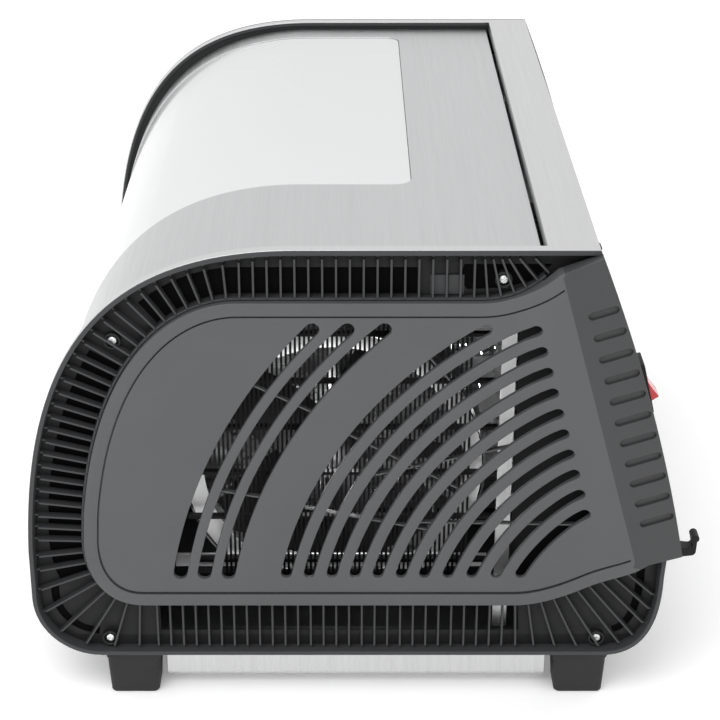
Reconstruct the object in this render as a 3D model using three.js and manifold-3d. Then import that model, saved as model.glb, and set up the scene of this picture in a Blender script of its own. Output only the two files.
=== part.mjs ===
// Food dehydrator: a wide cabinet with a roll-top door and window, five drying trays over a drip drawer,
// a fan and heater beside the trays, and a slotted cover on each end.
// Millimetres, +Z up, door towards -Y, machine end towards +X. The origin is the bottom centre of the box.
import * as THREE from 'three';
import { mergeVertices } from 'three/addons/utils/BufferGeometryUtils.js';
import Module from 'manifold-3d';

const wasm = await Module();
wasm.setup();
const { Manifold, Mesh: SolidMesh } = wasm;

// ---------------------------------------------------------------- driving dimensions
const COVER_FACE = 279.5; // outer face of the flat part of an end cover
const COVER_BACK = 276; // inner face of an end cover's plate
const RIM_FACE = 278; // outer edge of an end frame
const FRAME_BACK = 267.5; // inner face of an end frame
const SHELL_HALF = 276; // half the width of the steel shell
const ARCH_HALF = 268; // half the width of the door opening
const DOOR_HALF = 266.8; // half the width of the door

const BODY_BOTTOM = 34.5;
const BODY_TOP = 337;
const FRONT = -220;
const REAR_TOP = 155.5; // rear end of the flat top
const REAR_LOW = 212; // rear end of the body at the foot of the slanted back
const REAR_LOW_Z = 112;
const CORNER_RADIUS = 46; // lower front corner
const CURVE_FOOT_Z = 118; // where the front starts to roll over
const CURVE_HEAD_Y = -37; // where the roll-over meets the flat top

const SHEET = 1.2; // steel sheet
const FIT = 0.3; // gap between pieces that touch
const FAR = 400; // past every surface, for cutting shapes
const FRAME_INSET = SHEET + FIT; // end frames sit under the shell by this much
const WALL = 2.4; // moulded plastic wall
const SHELL_FOOT_Z = 88;
const SEAM_Y = -170; // where the front fascia meets the base tub
const FASCIA_TOP = 112.5;
const FASCIA_FACE = FRONT + FRAME_INSET;

const DOOR_RECESS_Z = 330.7; // top surface of the door
const DOOR_FRONT = -214; // front surface of the door
const DOOR_FOOT_Z = 114;
const DOOR_THICK = 9;
const HINGE = { y: 113.5, z: 323.7, radius: 7 };
const PIN = { radius: 2.5, depth: 12 };
const SLOT_Y = 122.5; // front edge of the fixed rear strip
const SEAL = { gap: 0.3, thick: 3.3, left: -241, right: 141, width: 10 };
const WINDOW = { left: -240, right: 138, rear: 40.6, foot: 152, sink: 0.8, thick: 3 };

const CAVITY = { left: -234, right: 134, rear: 139, front: -200, floor: 69.5 };
const TRAY = { count: 5, firstZ: 121, pitch: 32.5, front: -160, rear: 134.5, height: 8, bars: 3 };
const RAIL = { reach: 12, thick: 2 };
const FAN = {
  y: -14,
  z: 165,
  ring: 104,
  ringWall: 3.5,
  front: 196, // X where the ring starts
  rear: 246,
  blade: 93,
  bladeX: 220,
  hub: 18,
  blades: 5,
};
const MOTOR = { front: 152, rear: 200, radius: 30, shaft: 3.2, bore: 4 };
const HEATER = { x: 162, radius: 74, tube: 5, leg: 2.4 };
const THERMOSTAT = { y: 104, z: 287 };

const RIB = { pitch: 16.8, thick: 1.3, floor: 269.5, top: 275.5 };
const COVER_SLOTS = { centreY: 228.5, centreZ: 42.3, footZ: 101.8, headZ: 283.3 };
const WIDE_SLOTS = { count: 3, radius: 351.2, pitch: 16.05, width: 9.3 };
const NARROW_SLOTS = { count: 11, radius: 280.7, pitch: 15.1, width: 7.3 };
const GRIP = {
  creaseHeadY: 130,
  creaseHeadZ: 326.6,
  creaseFootY: 189.5,
  creaseFootZ: 112.9,
  rise: 8.5, // of the crease above the plate
  fall: 5, // height of the rear edge above the plate
};
const GROOVES = { count: 11, firstZ: 295, pitch: 15.1, width: 5.8, depth: 2.4, tilt: 0.27, start: 9 };

const SCREW_PLACES = [
  [-156.1, 272.6],
  [-168.8, 45.6],
  [168.2, 45.6],
  [95, 315.6],
];
const SCREW = { head: 2.8, shank: 1.5, well: 4.5, boss: 6, seat: 270.4, headThick: 2 };

const FOOT = { frontY: -153.5, rearY: 157.5, x: 259, height: 35.7, topY: 39, topX: 32, taper: 4 };
const PAN = { halfX: 266, frontY: -131, rearY: 134, bottom: 8, bend: 7 };

const PANEL = { z: 98, holeRadius: 4.9, buttonRadius: 4.5, firstX: 208, pitch: 14, buttons: 4, proud: 2 };
const DISPLAY = { left: 146, right: 198, foot: 90, head: 106, thick: 1.6 };
const DRAWER = { left: -232, right: 130, foot: 75, head: 110.4, wall: 1.6, gap: 0.8, rear: 127, panHead: 96 };
const PULL = { left: -91, right: -11, front: -235.4, thick: 2.2 };

const SWITCH = { x: 228, y: 190.8, z: 219.1, lean: 13.6 }; // degrees that the back leans from upright
const INLET_X = 172;
const HOOK = { tip: 235.4, z: 106, width: 10, x: 262 };
const HANDLE = { half: 60, front: -227, z: 122, height: 9, depth: 5 };

// ---------------------------------------------------------------- colours and finishes
const FINISH = {
  plastic: { color: 0x55565a, roughness: 0.55, metalness: 0.0 },
  cover: { color: 0x68696d, roughness: 0.5, metalness: 0.0 },
  black: { color: 0x18181a, roughness: 0.6, metalness: 0.0 },
  steel: { color: 0xc8c9cb, roughness: 0.35, metalness: 0.9 },
  chrome: { color: 0xe4e6e8, roughness: 0.12, metalness: 1.0 },
  window: { color: 0xe6e8ea, roughness: 0.1, metalness: 0.0 },
  rubber: { color: 0x333335, roughness: 0.9, metalness: 0.0 },
  gasket: { color: 0x77797c, roughness: 0.9, metalness: 0.0 },
  red: { color: 0xc8262c, roughness: 0.3, metalness: 0.0 },
  screw: { color: 0x3c3d40, roughness: 0.4, metalness: 0.8 },
  board: { color: 0x1f5a36, roughness: 0.6, metalness: 0.0 },
  display: { color: 0x0d1114, roughness: 0.1, metalness: 0.0 },
};

const dehydrator = new THREE.Group();

// ---------------------------------------------------------------- solids
function solidOf(geometry) {
  const plain = geometry.clone();
  plain.deleteAttribute('normal');
  plain.deleteAttribute('uv');
  const merged = mergeVertices(plain, 1e-4);
  return new Manifold(
    new SolidMesh({
      numProp: 3,
      vertProperties: new Float32Array(merged.attributes.position.array),
      triVerts: new Uint32Array(merged.index.array),
    }),
  );
}

function geometryOf(solid) {
  const mesh = solid.getMesh();
  const geometry = new THREE.BufferGeometry();
  geometry.setAttribute('position', new THREE.BufferAttribute(mesh.vertProperties, 3));
  geometry.setIndex(new THREE.BufferAttribute(mesh.triVerts, 1));
  return geometry;
}

const join = (...solids) => solids.reduce((sum, solid) => sum.add(solid));
const cut = (solid, ...tools) => tools.reduce((left, tool) => left.subtract(tool), solid);

function box(x0, x1, y0, y1, z0, z1) {
  const geometry = new THREE.BoxGeometry(x1 - x0, y1 - y0, z1 - z0);
  geometry.translate((x0 + x1) / 2, (y0 + y1) / 2, (z0 + z1) / 2);
  return solidOf(geometry);
}

// A prism along X of an outline in the (y, z) plane.
function slab(points, x0, x1, holes = []) {
  const shape = new THREE.Shape(points);
  shape.holes = holes.map((hole) => new THREE.Path(hole));
  const geometry = new THREE.ExtrudeGeometry(shape, { depth: x1 - x0, bevelEnabled: false });
  const alongX = new THREE.Matrix4().makeBasis(
    new THREE.Vector3(0, 1, 0),
    new THREE.Vector3(0, 0, 1),
    new THREE.Vector3(1, 0, 0),
  );
  geometry.applyMatrix4(alongX);
  geometry.translate(x0, 0, 0);
  return solidOf(geometry);
}

// A rod along X between x0 and x1.
function rodX(x0, x1, y, z, radius, sides = 16) {
  const geometry = new THREE.CylinderGeometry(radius, radius, x1 - x0, sides);
  geometry.rotateZ(Math.PI / 2);
  geometry.translate((x0 + x1) / 2, y, z);
  return solidOf(geometry);
}

// A rod along Y between y0 and y1.
function rodY(x, y0, y1, z, radius, sides = 16) {
  const geometry = new THREE.CylinderGeometry(radius, radius, y1 - y0, sides);
  geometry.translate(x, (y0 + y1) / 2, z);
  return solidOf(geometry);
}

// A bar in a plane across X, from one (y, z) point to another.
function bar(x0, x1, from, to, thick) {
  const run = new THREE.Vector2().subVectors(to, from);
  const geometry = new THREE.BoxGeometry(x1 - x0, run.length(), thick);
  geometry.rotateX(Math.atan2(run.y, run.x));
  geometry.translate((x0 + x1) / 2, (from.x + to.x) / 2, (from.y + to.y) / 2);
  return solidOf(geometry);
}

const mirrored = (solid) => solid.mirror([1, 0, 0]);

// Everything on one side of a level, or on one side of a plane across Y.
const below = (z) => box(-FAR, FAR, -FAR, FAR, -FAR, z);
const above = (z) => box(-FAR, FAR, -FAR, FAR, z, FAR);
const ahead = (y) => box(-FAR, FAR, -FAR, y, -FAR, FAR);
const behind = (y) => box(-FAR, FAR, y, FAR, -FAR, FAR);

function place(name, solid, finish) {
  const material = new THREE.MeshStandardMaterial(FINISH[finish]);
  material.name = finish;
  const mesh = new THREE.Mesh(geometryOf(solid), material);
  mesh.name = name;
  dehydrator.add(mesh);
  return mesh;
}

// A piece on the machine end and its mirror image on the other end.
function placePair(stem, solid, finish) {
  place(`${stem}_right`, solid, finish);
  place(`${stem}_left`, mirrored(solid), finish);
}

// ---------------------------------------------------------------- outlines in the (y, z) plane
const at = (y, z) => new THREE.Vector2(y, z);

// Moves a run of points sideways: a positive distance is outward on an anticlockwise outline.
function offset(points, distance, closed = true) {
  const count = points.length;
  return points.map((point, i) => {
    const before = closed ? points[(i + count - 1) % count] : points[Math.max(i - 1, 0)];
    const after = closed ? points[(i + 1) % count] : points[Math.min(i + 1, count - 1)];
    const lead = new THREE.Vector2().subVectors(point, before);
    const trail = new THREE.Vector2().subVectors(after, point);
    if (lead.lengthSq() === 0) lead.copy(trail);
    if (trail.lengthSq() === 0) trail.copy(lead);
    lead.normalize();
    trail.normalize();
    const way = new THREE.Vector2(lead.y + trail.y, -lead.x - trail.x).normalize();
    const stretch = 1 / Math.max(way.dot(at(trail.y, -trail.x)), 0.4);
    return point.clone().addScaledVector(way, distance * stretch);
  });
}

// The points of a shape's curves, without the doubled last point.
function loopOf(shape, divisions) {
  const points = shape.getPoints(divisions);
  if (points[0].distanceTo(points[points.length - 1]) < 1e-6) points.pop();
  return points;
}

function bodyShape() {
  const shape = new THREE.Shape();
  shape.moveTo(FRONT + CORNER_RADIUS, BODY_BOTTOM);
  shape.lineTo(171.6, BODY_BOTTOM);
  shape.bezierCurveTo(196, BODY_BOTTOM, 211, 52, 211, 96);
  shape.lineTo(REAR_LOW, REAR_LOW_Z);
  shape.quadraticCurveTo(193.2, 232, REAR_TOP, BODY_TOP);
  shape.lineTo(CURVE_HEAD_Y, BODY_TOP);
  shape.bezierCurveTo(-150, BODY_TOP, -214, 280, FRONT, CURVE_FOOT_Z);
  shape.lineTo(FRONT, BODY_BOTTOM + CORNER_RADIUS);
  const arcY = FRONT + CORNER_RADIUS;
  const arcZ = BODY_BOTTOM + CORNER_RADIUS;
  shape.absarc(arcY, arcZ, CORNER_RADIUS, Math.PI, 1.5 * Math.PI, false);
  return shape;
}

// The outline of an end cover: its raised band and the grip at the rear.
function coverShape() {
  const shape = new THREE.Shape();
  shape.moveTo(-143.6, 76);
  shape.lineTo(109, 76);
  shape.bezierCurveTo(136, 76, 165, 93, 198, 112.6);
  shape.lineTo(221, 117.6);
  shape.quadraticCurveTo(200, 226, 156.5, 334.8);
  shape.lineTo(129, 324.7);
  shape.bezierCurveTo(117, 313, 104.5, 301.8, 80.3, 301.8);
  shape.lineTo(-74.7, 301.8);
  shape.bezierCurveTo(-117, 301.8, -168.4, 262.5, -180.7, 147.3);
  shape.lineTo(-181.8, 128.7);
  shape.bezierCurveTo(-183.6, 97.5, -168.7, 76, -143.6, 76);
  return shape;
}

// The outer line of the door, from the hinge over the top and down the front.
function doorLine() {
  const path = new THREE.Path();
  path.moveTo(HINGE.y, DOOR_RECESS_Z);
  path.lineTo(WINDOW.rear, DOOR_RECESS_Z);
  path.lineTo(CURVE_HEAD_Y, DOOR_RECESS_Z);
  path.bezierCurveTo(-140, DOOR_RECESS_Z, -208, 269, DOOR_FRONT, CURVE_FOOT_Z);
  path.lineTo(DOOR_FRONT, DOOR_FOOT_Z);
  return path.getPoints(12);
}

// The strip between two depths under the door line.
function doorBand(outer, inner) {
  const line = doorLine();
  return [...offset(line, -outer, false), ...offset(line, -inner, false).reverse()];
}

const BODY = loopOf(bodyShape(), 8);
const COVER = loopOf(coverShape(), 6);
const BODY_FINE = bodyShape().getSpacedPoints(1200);
const COVER_FINE = coverShape().getSpacedPoints(900);

const creaseY = (z) => {
  const along = (GRIP.creaseHeadZ - z) / (GRIP.creaseHeadZ - GRIP.creaseFootZ);
  return GRIP.creaseHeadY + along * (GRIP.creaseFootY - GRIP.creaseHeadY);
};

// Everything in front of a line that runs a set distance before the grip's crease.
function beforeCrease(distance, x0, x1) {
  const head = at(creaseY(FAR) - distance, FAR);
  const foot = at(creaseY(0) - distance, 0);
  return slab([at(-FAR, 0), foot, head, at(-FAR, FAR)], x0, x1);
}

// ---------------------------------------------------------------- end frames and covers
function windowBand(keep, inner, outer) {
  const run = COVER_FINE.filter((point, i) => i % 24 === 0 && keep(point));
  return [...offset(run, inner, false), ...offset(run, outer, false).reverse()];
}

function ribBars() {
  const rim = offset(BODY_FINE, -FRAME_INSET - WALL / 2);
  const ring = offset(COVER_FINE, 1.4);
  const bars = [];
  let walked = 0;
  for (let i = 1; i < rim.length; i++) {
    walked += rim[i].distanceTo(rim[i - 1]);
    if (walked < RIB.pitch) continue;
    walked = 0;
    const foot = rim[i];
    const underGrip = foot.x > creaseY(foot.y) - 2 && foot.y > REAR_LOW_Z - 6;
    if (underGrip) continue;
    let near = ring[0];
    for (const point of ring) {
      if (point.distanceTo(foot) < near.distanceTo(foot)) near = point;
    }
    bars.push(bar(RIB.floor + 1, RIB.top, foot, near, RIB.thick));
  }
  return Manifold.union(bars);
}

function endFrame() {
  const low = offset(BODY, -FRAME_INSET);
  const lip = slab(BODY, SHELL_HALF + FIT, RIM_FACE);
  const block = slab(low, FRAME_BACK, SHELL_HALF + FIT);
  const pocket = slab(offset(BODY, -FRAME_INSET - WALL), RIB.floor, RIM_FACE + 1);
  const wells = cut(join(block, lip), pocket);

  const inside = beforeCrease(9, FRAME_BACK - 1, RIM_FACE + 1);
  const ring = slab(offset(COVER, 2), RIB.floor - 0.5, RIB.top, [offset(COVER, 0.4).reverse()]);
  const shellInside = slab(offset(BODY, -FRAME_INSET - 0.5), FRAME_BACK, RIM_FACE);
  const ringBefore = ring.intersect(inside).intersect(shellInside);
  const hole = slab(offset(COVER, 0.4), FRAME_BACK - 1, RIM_FACE + 1).intersect(inside);

  const over = windowBand((p) => p.y > 226 && p.x > -114 && p.x < 42, 2.6, 21);
  const front = windowBand((p) => p.x < -145 && p.y > 108 && p.y < 238, 2.6, 20);
  const under = windowBand((p) => p.y < 79 && p.x > -138 && p.x < 108, 2.6, 24);
  const windows = [over, front, under].map((band) => slab(band, FRAME_BACK - 1, RIB.floor + 0.3));
  const pocketNearScrew = slab([at(67, 308), at(126, 315), at(126, 325), at(67, 325)], FRAME_BACK - 1, 272);

  let frame = cut(join(wells, ringBefore), ...windows, pocketNearScrew, hole);
  frame = join(frame, ribBars().intersect(shellInside));
  for (const [y, z] of SCREW_PLACES) {
    frame = join(frame, rodX(FRAME_BACK, RIB.top + 0.3, y, z, SCREW.boss, 14));
    frame = cut(frame, rodX(SCREW.seat, RIM_FACE, y, z, SCREW.well, 12));
    frame = cut(frame, rodX(FRAME_BACK - 1, RIM_FACE, y, z, SCREW.shank + FIT, 8));
  }
  const coverRoom = slab(offset(COVER, 0.4), RIB.top + 0.3, RIM_FACE + 1);
  return largest(cut(frame, coverRoom));
}

// Booleans can leave loose slivers: the piece itself is the largest body.
function largest(solid) {
  const bodies = solid.decompose();
  return bodies.reduce((best, body) => (body.volume() > best.volume() ? body : best));
}

function arcSlot(radius, headAngle, footAngle, width) {
  const centre = at(COVER_SLOTS.centreY, COVER_SLOTS.centreZ);
  const spot = (r, angle) => at(centre.x + r * Math.cos(angle), centre.y + r * Math.sin(angle));
  const steps = 5;
  const endSteps = 2;
  const points = [];
  for (let i = 0; i <= steps; i++) {
    points.push(spot(radius + width / 2, headAngle + ((footAngle - headAngle) * i) / steps));
  }
  const foot = spot(radius, footAngle);
  for (let i = 1; i < endSteps; i++) {
    const turn = footAngle + (Math.PI * i) / endSteps;
    points.push(at(foot.x + (width / 2) * Math.cos(turn), foot.y + (width / 2) * Math.sin(turn)));
  }
  for (let i = steps; i >= 0; i--) {
    points.push(spot(radius - width / 2, headAngle + ((footAngle - headAngle) * i) / steps));
  }
  const head = spot(radius, headAngle);
  for (let i = 1; i < endSteps; i++) {
    const turn = headAngle + Math.PI + (Math.PI * i) / endSteps;
    points.push(at(head.x + (width / 2) * Math.cos(turn), head.y + (width / 2) * Math.sin(turn)));
  }
  return points;
}

function coverSlotOutlines() {
  const { centreY, centreZ, footZ, headZ } = COVER_SLOTS;
  const outlines = [];
  const footAngle = (radius) => Math.PI - Math.asin((footZ - centreZ) / radius);
  const levelHead = (radius) => Math.PI - Math.asin((headZ - centreZ) / radius);
  for (let i = 0; i < WIDE_SLOTS.count; i++) {
    const radius = WIDE_SLOTS.radius - i * WIDE_SLOTS.pitch;
    outlines.push(arcSlot(radius, levelHead(radius), footAngle(radius), WIDE_SLOTS.width));
  }
  for (let i = 0; i < NARROW_SLOTS.count; i++) {
    const radius = NARROW_SLOTS.radius - i * NARROW_SLOTS.pitch;
    // The heads of all but the first end on one line beside the grip.
    let head = levelHead(radius);
    if (i > 0) {
      const lineY = (z) => 116.7 + (headZ - z) * 0.279;
      head = THREE.MathUtils.degToRad(111);
      while (centreY + radius * Math.cos(head) > lineY(centreZ + radius * Math.sin(head))) head += 0.002;
    }
    outlines.push(arcSlot(radius, head, footAngle(radius), NARROW_SLOTS.width));
  }
  return outlines;
}

// The swelling that rises from the flat plate to the grip's crease and falls away to its rear edge.
function gripSwell() {
  const stations = 4;
  const rampSteps = 2;
  const rampRun = 38;
  const rampEnd = 0.82; // the ramp's top, as a share of a full half wave
  const under = COVER_BACK - COVER_FACE;
  const rearEdge = new THREE.QuadraticBezierCurve(at(221, 107), at(198, 226), at(151, 349));
  const positions = [];
  for (let i = 0; i <= stations; i++) {
    const share = i / stations;
    const rear = rearEdge.getPoint(share);
    const z = rear.y - 3;
    const crease = creaseY(z);
    const section = [[crease - rampRun, under]];
    for (let j = 0; j <= rampSteps; j++) {
      const run = j / rampSteps;
      const rise = (GRIP.rise * (1 - Math.cos(Math.PI * run * rampEnd))) / (1 - Math.cos(Math.PI * rampEnd));
      section.push([crease - rampRun * (1 - run), rise - 0.3 * (1 - run)]);
    }
    section.push([rear.x + 3, GRIP.fall], [rear.x + 3, under]);
    for (const [y, x] of section) positions.push(COVER_FACE + x, y, z + (y - crease) * 0.22);
  }
  const around = rampSteps + 4;
  const index = [];
  for (let i = 0; i < stations; i++) {
    for (let j = 0; j < around; j++) {
      const a = i * around + j;
      const b = i * around + ((j + 1) % around);
      index.push(a, b, a + around, b, b + around, a + around);
    }
  }
  for (let j = 1; j < around - 1; j++) {
    index.push(0, j + 1, j);
    const top = stations * around;
    index.push(top, top + j, top + j + 1);
  }
  const geometry = new THREE.BufferGeometry();
  geometry.setAttribute('position', new THREE.Float32BufferAttribute(positions, 3));
  geometry.setIndex(index);
  return solidOf(geometry);
}

function endCover() {
  const plate = slab(COVER, COVER_BACK, COVER_FACE);
  const wall = slab(COVER, FRAME_BACK, COVER_BACK + 0.5, [offset(COVER, -WALL).reverse()]);
  const skirt = wall.intersect(beforeCrease(12, 0, FAR));
  const swell = gripSwell().intersect(slab(COVER, FRAME_BACK, FAR));
  let cover = join(plate, skirt, swell);
  const slots = coverSlotOutlines().map((outline) => slab(outline, FRAME_BACK, FAR));
  cover = cut(cover, Manifold.union(slots));
  for (let i = 0; i < GROOVES.count; i++) {
    const z = GROOVES.firstZ - i * GROOVES.pitch;
    const start = creaseY(z) + GROOVES.start;
    const depthX = COVER_FACE + GRIP.rise - GROOVES.depth;
    const run = 40;
    const from = at(start, z);
    const to = at(start + run, z + run * GROOVES.tilt);
    const drop = (GRIP.rise - GRIP.fall) * 0.45;
    cover = cut(cover, bar(depthX - drop, FAR, from, to, GROOVES.width));
  }
  const band = 9;
  const lineWidth = 1.3;
  const lineInside = offset(COVER, -band - lineWidth).reverse();
  const line = slab(offset(COVER, -band), COVER_FACE - 1, FAR, [lineInside]);
  return largest(cut(cover, line.intersect(beforeCrease(1, 0, FAR))));
}

// A barred panel close behind each end cover.
function ventGrille() {
  const rows = 6;
  const firstZ = 98;
  const rowPitch = 34.3;
  const x0 = 252;
  const x1 = 258;
  const margin = 5;
  const panel = { front: -170, rear: 150, foot: 84, head: 289 };
  const underDoor = slab(offset(BODY, -24), x0 - 1, x1 + 1);
  const plate = box(x0, x1, panel.front, panel.rear, panel.foot, panel.head).intersect(underDoor);
  const middle = (panel.front + panel.rear) / 2;
  const insideEdge = slab(offset(BODY, -24 - margin), x0 - 1, x1 + 1);
  const openings = [];
  for (let i = 0; i <= rows; i++) {
    const foot = i === 0 ? panel.foot + 2 : firstZ + (i - 1) * rowPitch + 1.6;
    const head = i === rows ? panel.head - margin : firstZ + i * rowPitch - 1.6;
    openings.push(box(x0 - 1, x1 + 1, panel.front + margin, middle - 1.4, foot, head));
    openings.push(box(x0 - 1, x1 + 1, middle + 1.4, panel.rear - margin, foot, head));
  }
  return cut(plate, Manifold.union(openings).intersect(insideEdge));
}

function coverScrew([y, z]) {
  const gap = 0.35;
  const top = SCREW.seat + gap + SCREW.headThick;
  const head = rodX(SCREW.seat + gap, top, y, z, SCREW.head, 12);
  const shank = rodX(FRAME_BACK + FIT, SCREW.seat + gap + 0.1, y, z, SCREW.shank, 8);
  const slotAcross = box(top - 0.8, top + 1, y - 2, y + 2, z - 0.4, z + 0.4);
  const slotUp = box(top - 0.8, top + 1, y - 0.4, y + 0.4, z - 2, z + 2);
  return cut(join(head, shank), slotAcross, slotUp);
}

function buildEnds() {
  placePair('side_frame', endFrame(), 'plastic');
  placePair('vent_cover', endCover(), 'cover');
  placePair('vent_grille', ventGrille(), 'black');
  SCREW_PLACES.forEach((spot, i) => placePair(`cover_screw_${i + 1}`, coverScrew(spot), 'screw'));
}

// ---------------------------------------------------------------- shell, base and feet
// Stands a piece on the slanted back, centred on X, a distance out of it and a distance up it.
function onBack(geometry, x, out, up) {
  const lean = THREE.MathUtils.degToRad(SWITCH.lean);
  geometry.rotateX(lean);
  const y = SWITCH.y + out * Math.cos(lean) - up * Math.sin(lean);
  const z = SWITCH.z + out * Math.sin(lean) + up * Math.cos(lean);
  geometry.translate(x, y, z);
  return solidOf(geometry);
}

function outerShell() {
  const wrap = slab(BODY, -SHELL_HALF, SHELL_HALF, [offset(BODY, -SHEET).reverse()]);
  const opening = box(-ARCH_HALF, ARCH_HALF, -FAR, SLOT_Y, SHELL_FOOT_Z - 1, FAR);
  const lipHalf = FRAME_BACK - FIT;
  const lip = box(-lipHalf, lipHalf, SLOT_Y, SLOT_Y + SHEET, BODY_TOP - 9, BODY_TOP - 0.5);
  const switchHole = onBack(new THREE.BoxGeometry(20, 30, 31), SWITCH.x, 0, 0);
  const inletHole = onBack(new THREE.BoxGeometry(28, 30, 21), INLET_X, 0, 0);
  return cut(join(cut(wrap, below(SHELL_FOOT_Z), opening), lip), switchHole, inletHole);
}

// A wall of one depth all round the body, between the end frames.
function baseBand(depth) {
  const outer = offset(BODY, -FRAME_INSET);
  return slab(outer, -FRAME_BACK + FIT, FRAME_BACK - FIT, [offset(outer, -depth).reverse()]);
}

function baseTub() {
  return cut(baseBand(2), ahead(SEAM_Y), above(SHELL_FOOT_Z - FIT));
}

function frontFascia() {
  const band = cut(baseBand(3), behind(SEAM_Y - FIT), above(FASCIA_TOP));
  const drawerHole = box(
    DRAWER.left - DRAWER.gap,
    DRAWER.right + DRAWER.gap,
    -FAR,
    SEAM_Y,
    DRAWER.foot - DRAWER.gap,
    DRAWER.head + DRAWER.gap,
  );
  const displayHole = box(
    DISPLAY.left - FIT,
    DISPLAY.right + FIT,
    -FAR,
    FASCIA_FACE + DISPLAY.thick + FIT,
    DISPLAY.foot - FIT,
    DISPLAY.head + FIT,
  );
  const buttonHoles = [];
  for (let i = 0; i < PANEL.buttons; i++) {
    buttonHoles.push(rodY(PANEL.firstX + i * PANEL.pitch, -FAR, SEAM_Y, PANEL.z, PANEL.holeRadius));
  }
  // A stiffening rib runs along the inside, below the drawer's opening.
  const rib = box(-FRAME_BACK + FIT, FRAME_BACK - FIT, -205, -202, 39.5, DRAWER.foot - 3);
  const insideBand = slab(offset(BODY, -4), -FAR, FAR);
  return cut(join(band, rib.intersect(insideBand)), drawerHole, displayHole, ...buttonHoles);
}

function foot(x, y) {
  const geometry = new THREE.BoxGeometry(FOOT.topX, FOOT.topY, FOOT.height);
  const position = geometry.attributes.position;
  for (let i = 0; i < position.count; i++) {
    if (position.getZ(i) > 0) continue;
    position.setX(i, position.getX(i) * (1 - FOOT.taper / FOOT.topX));
    position.setY(i, position.getY(i) * (1 - FOOT.taper / FOOT.topY));
  }
  geometry.translate(x, y, FOOT.height / 2);
  return solidOf(geometry);
}

// A shallow tray of folded sheet under the body.
function basePan() {
  const profile = (grow) => {
    const half = PAN.halfX - grow;
    const bend = PAN.bend - grow;
    const low = PAN.bottom + grow;
    const top = BODY_BOTTOM - FIT + (grow > 0 ? 1 : 0);
    const shape = new THREE.Shape();
    shape.moveTo(-half, top);
    shape.absarc(-half + bend, low + bend, bend, Math.PI, 1.5 * Math.PI, false);
    shape.absarc(half - bend, low + bend, bend, 1.5 * Math.PI, 2 * Math.PI, false);
    shape.lineTo(half, top);
    return shape;
  };
  const run = (grow, front, rear) => {
    const geometry = new THREE.ExtrudeGeometry(profile(grow), {
      depth: rear - front,
      bevelEnabled: false,
      curveSegments: 5,
    });
    geometry.rotateX(Math.PI / 2);
    geometry.translate(0, rear, 0);
    return solidOf(geometry);
  };
  return cut(run(0, PAN.frontY, PAN.rearY), run(SHEET, PAN.frontY + SHEET, PAN.rearY - SHEET));
}

function cordHook(x) {
  const foot = REAR_LOW + 0.6;
  const arm = [
    at(foot, HOOK.z),
    at(HOOK.tip - 9, HOOK.z + 1),
    at(HOOK.tip - 2, HOOK.z + 5),
    at(HOOK.tip, HOOK.z + 11),
    at(HOOK.tip, HOOK.z + 18),
    at(HOOK.tip - 3, HOOK.z + 18),
    at(HOOK.tip - 4, HOOK.z + 12),
    at(HOOK.tip - 8, HOOK.z + 8),
    at(foot, HOOK.z + 7),
  ];
  return slab(arm, x - HOOK.width / 2, x + HOOK.width / 2);
}

function buildHousing() {
  place('outer_shell', outerShell(), 'steel');
  place('base_tub', baseTub(), 'plastic');
  place('front_fascia', frontFascia(), 'plastic');
  place('base_pan', basePan(), 'steel');
  place('foot_front_right', foot(FOOT.x, FOOT.frontY), 'rubber');
  place('foot_rear_right', foot(FOOT.x, FOOT.rearY), 'rubber');
  place('foot_front_left', foot(-FOOT.x, FOOT.frontY), 'rubber');
  place('foot_rear_left', foot(-FOOT.x, FOOT.rearY), 'rubber');
  place('cord_hook_right', cordHook(HOOK.x), 'black');
  place('cord_hook_left', cordHook(-HOOK.x), 'black');
}

// ---------------------------------------------------------------- rear switch and power inlet
function buildRearParts() {
  const plate = onBack(new THREE.BoxGeometry(32, 2, 50), SWITCH.x, 2.4, 0);
  const plateHole = onBack(new THREE.BoxGeometry(19.4, 12, 30.4), SWITCH.x, 2.4, 0);
  place('switch_plate', cut(plate, plateHole), 'steel');

  const collar = onBack(new THREE.BoxGeometry(24, 4.5, 37), SWITCH.x, 6, 0);
  const throat = onBack(new THREE.BoxGeometry(18.8, 20, 29.8), SWITCH.x, -2.5, 0);
  const well = onBack(new THREE.BoxGeometry(15.4, 24, 26.4), SWITCH.x, 3.5, 0);
  place('switch_bezel', cut(join(collar, throat), well), 'black');
  place('power_rocker', rocker(), 'red');

  const flange = onBack(new THREE.BoxGeometry(34, 2, 27), INLET_X, 1.5, 0);
  const barrel = onBack(new THREE.BoxGeometry(27.4, 20, 20.4), INLET_X, -8, 0);
  const socket = onBack(new THREE.BoxGeometry(23, 16, 16), INLET_X, -3, 0);
  const pins = [-7, 0, 7].map((dx) => onBack(new THREE.BoxGeometry(2, 12, 5), INLET_X + dx, -8, 0));
  place('power_inlet', join(cut(join(flange, barrel), socket), ...pins), 'black');
}

// A rocker with a shallow V face, turning on an axis along X inside its bezel. Every corner is within
// 12.8 mm of the axis, so that it clears the bezel as it turns.
function rocker() {
  const width = 14.6;
  const shape = new THREE.Shape();
  shape.moveTo(-12.4, -2);
  shape.lineTo(-5, -6);
  shape.lineTo(5, -6);
  shape.lineTo(12.4, -2);
  shape.lineTo(12.1, 4.2);
  shape.lineTo(0, 6.4);
  shape.lineTo(-9.4, 8.6);
  shape.lineTo(-12.4, 3);
  const geometry = new THREE.ExtrudeGeometry(shape, { depth: width, bevelEnabled: false });
  // Shape x runs up the back and shape y runs out of it.
  geometry.applyMatrix4(
    new THREE.Matrix4().makeBasis(
      new THREE.Vector3(0, 0, 1),
      new THREE.Vector3(0, 1, 0),
      new THREE.Vector3(-1, 0, 0),
    ),
  );
  geometry.translate(width / 2, 0, 0);
  return onBack(geometry, SWITCH.x, 2.5, 0);
}

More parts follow.
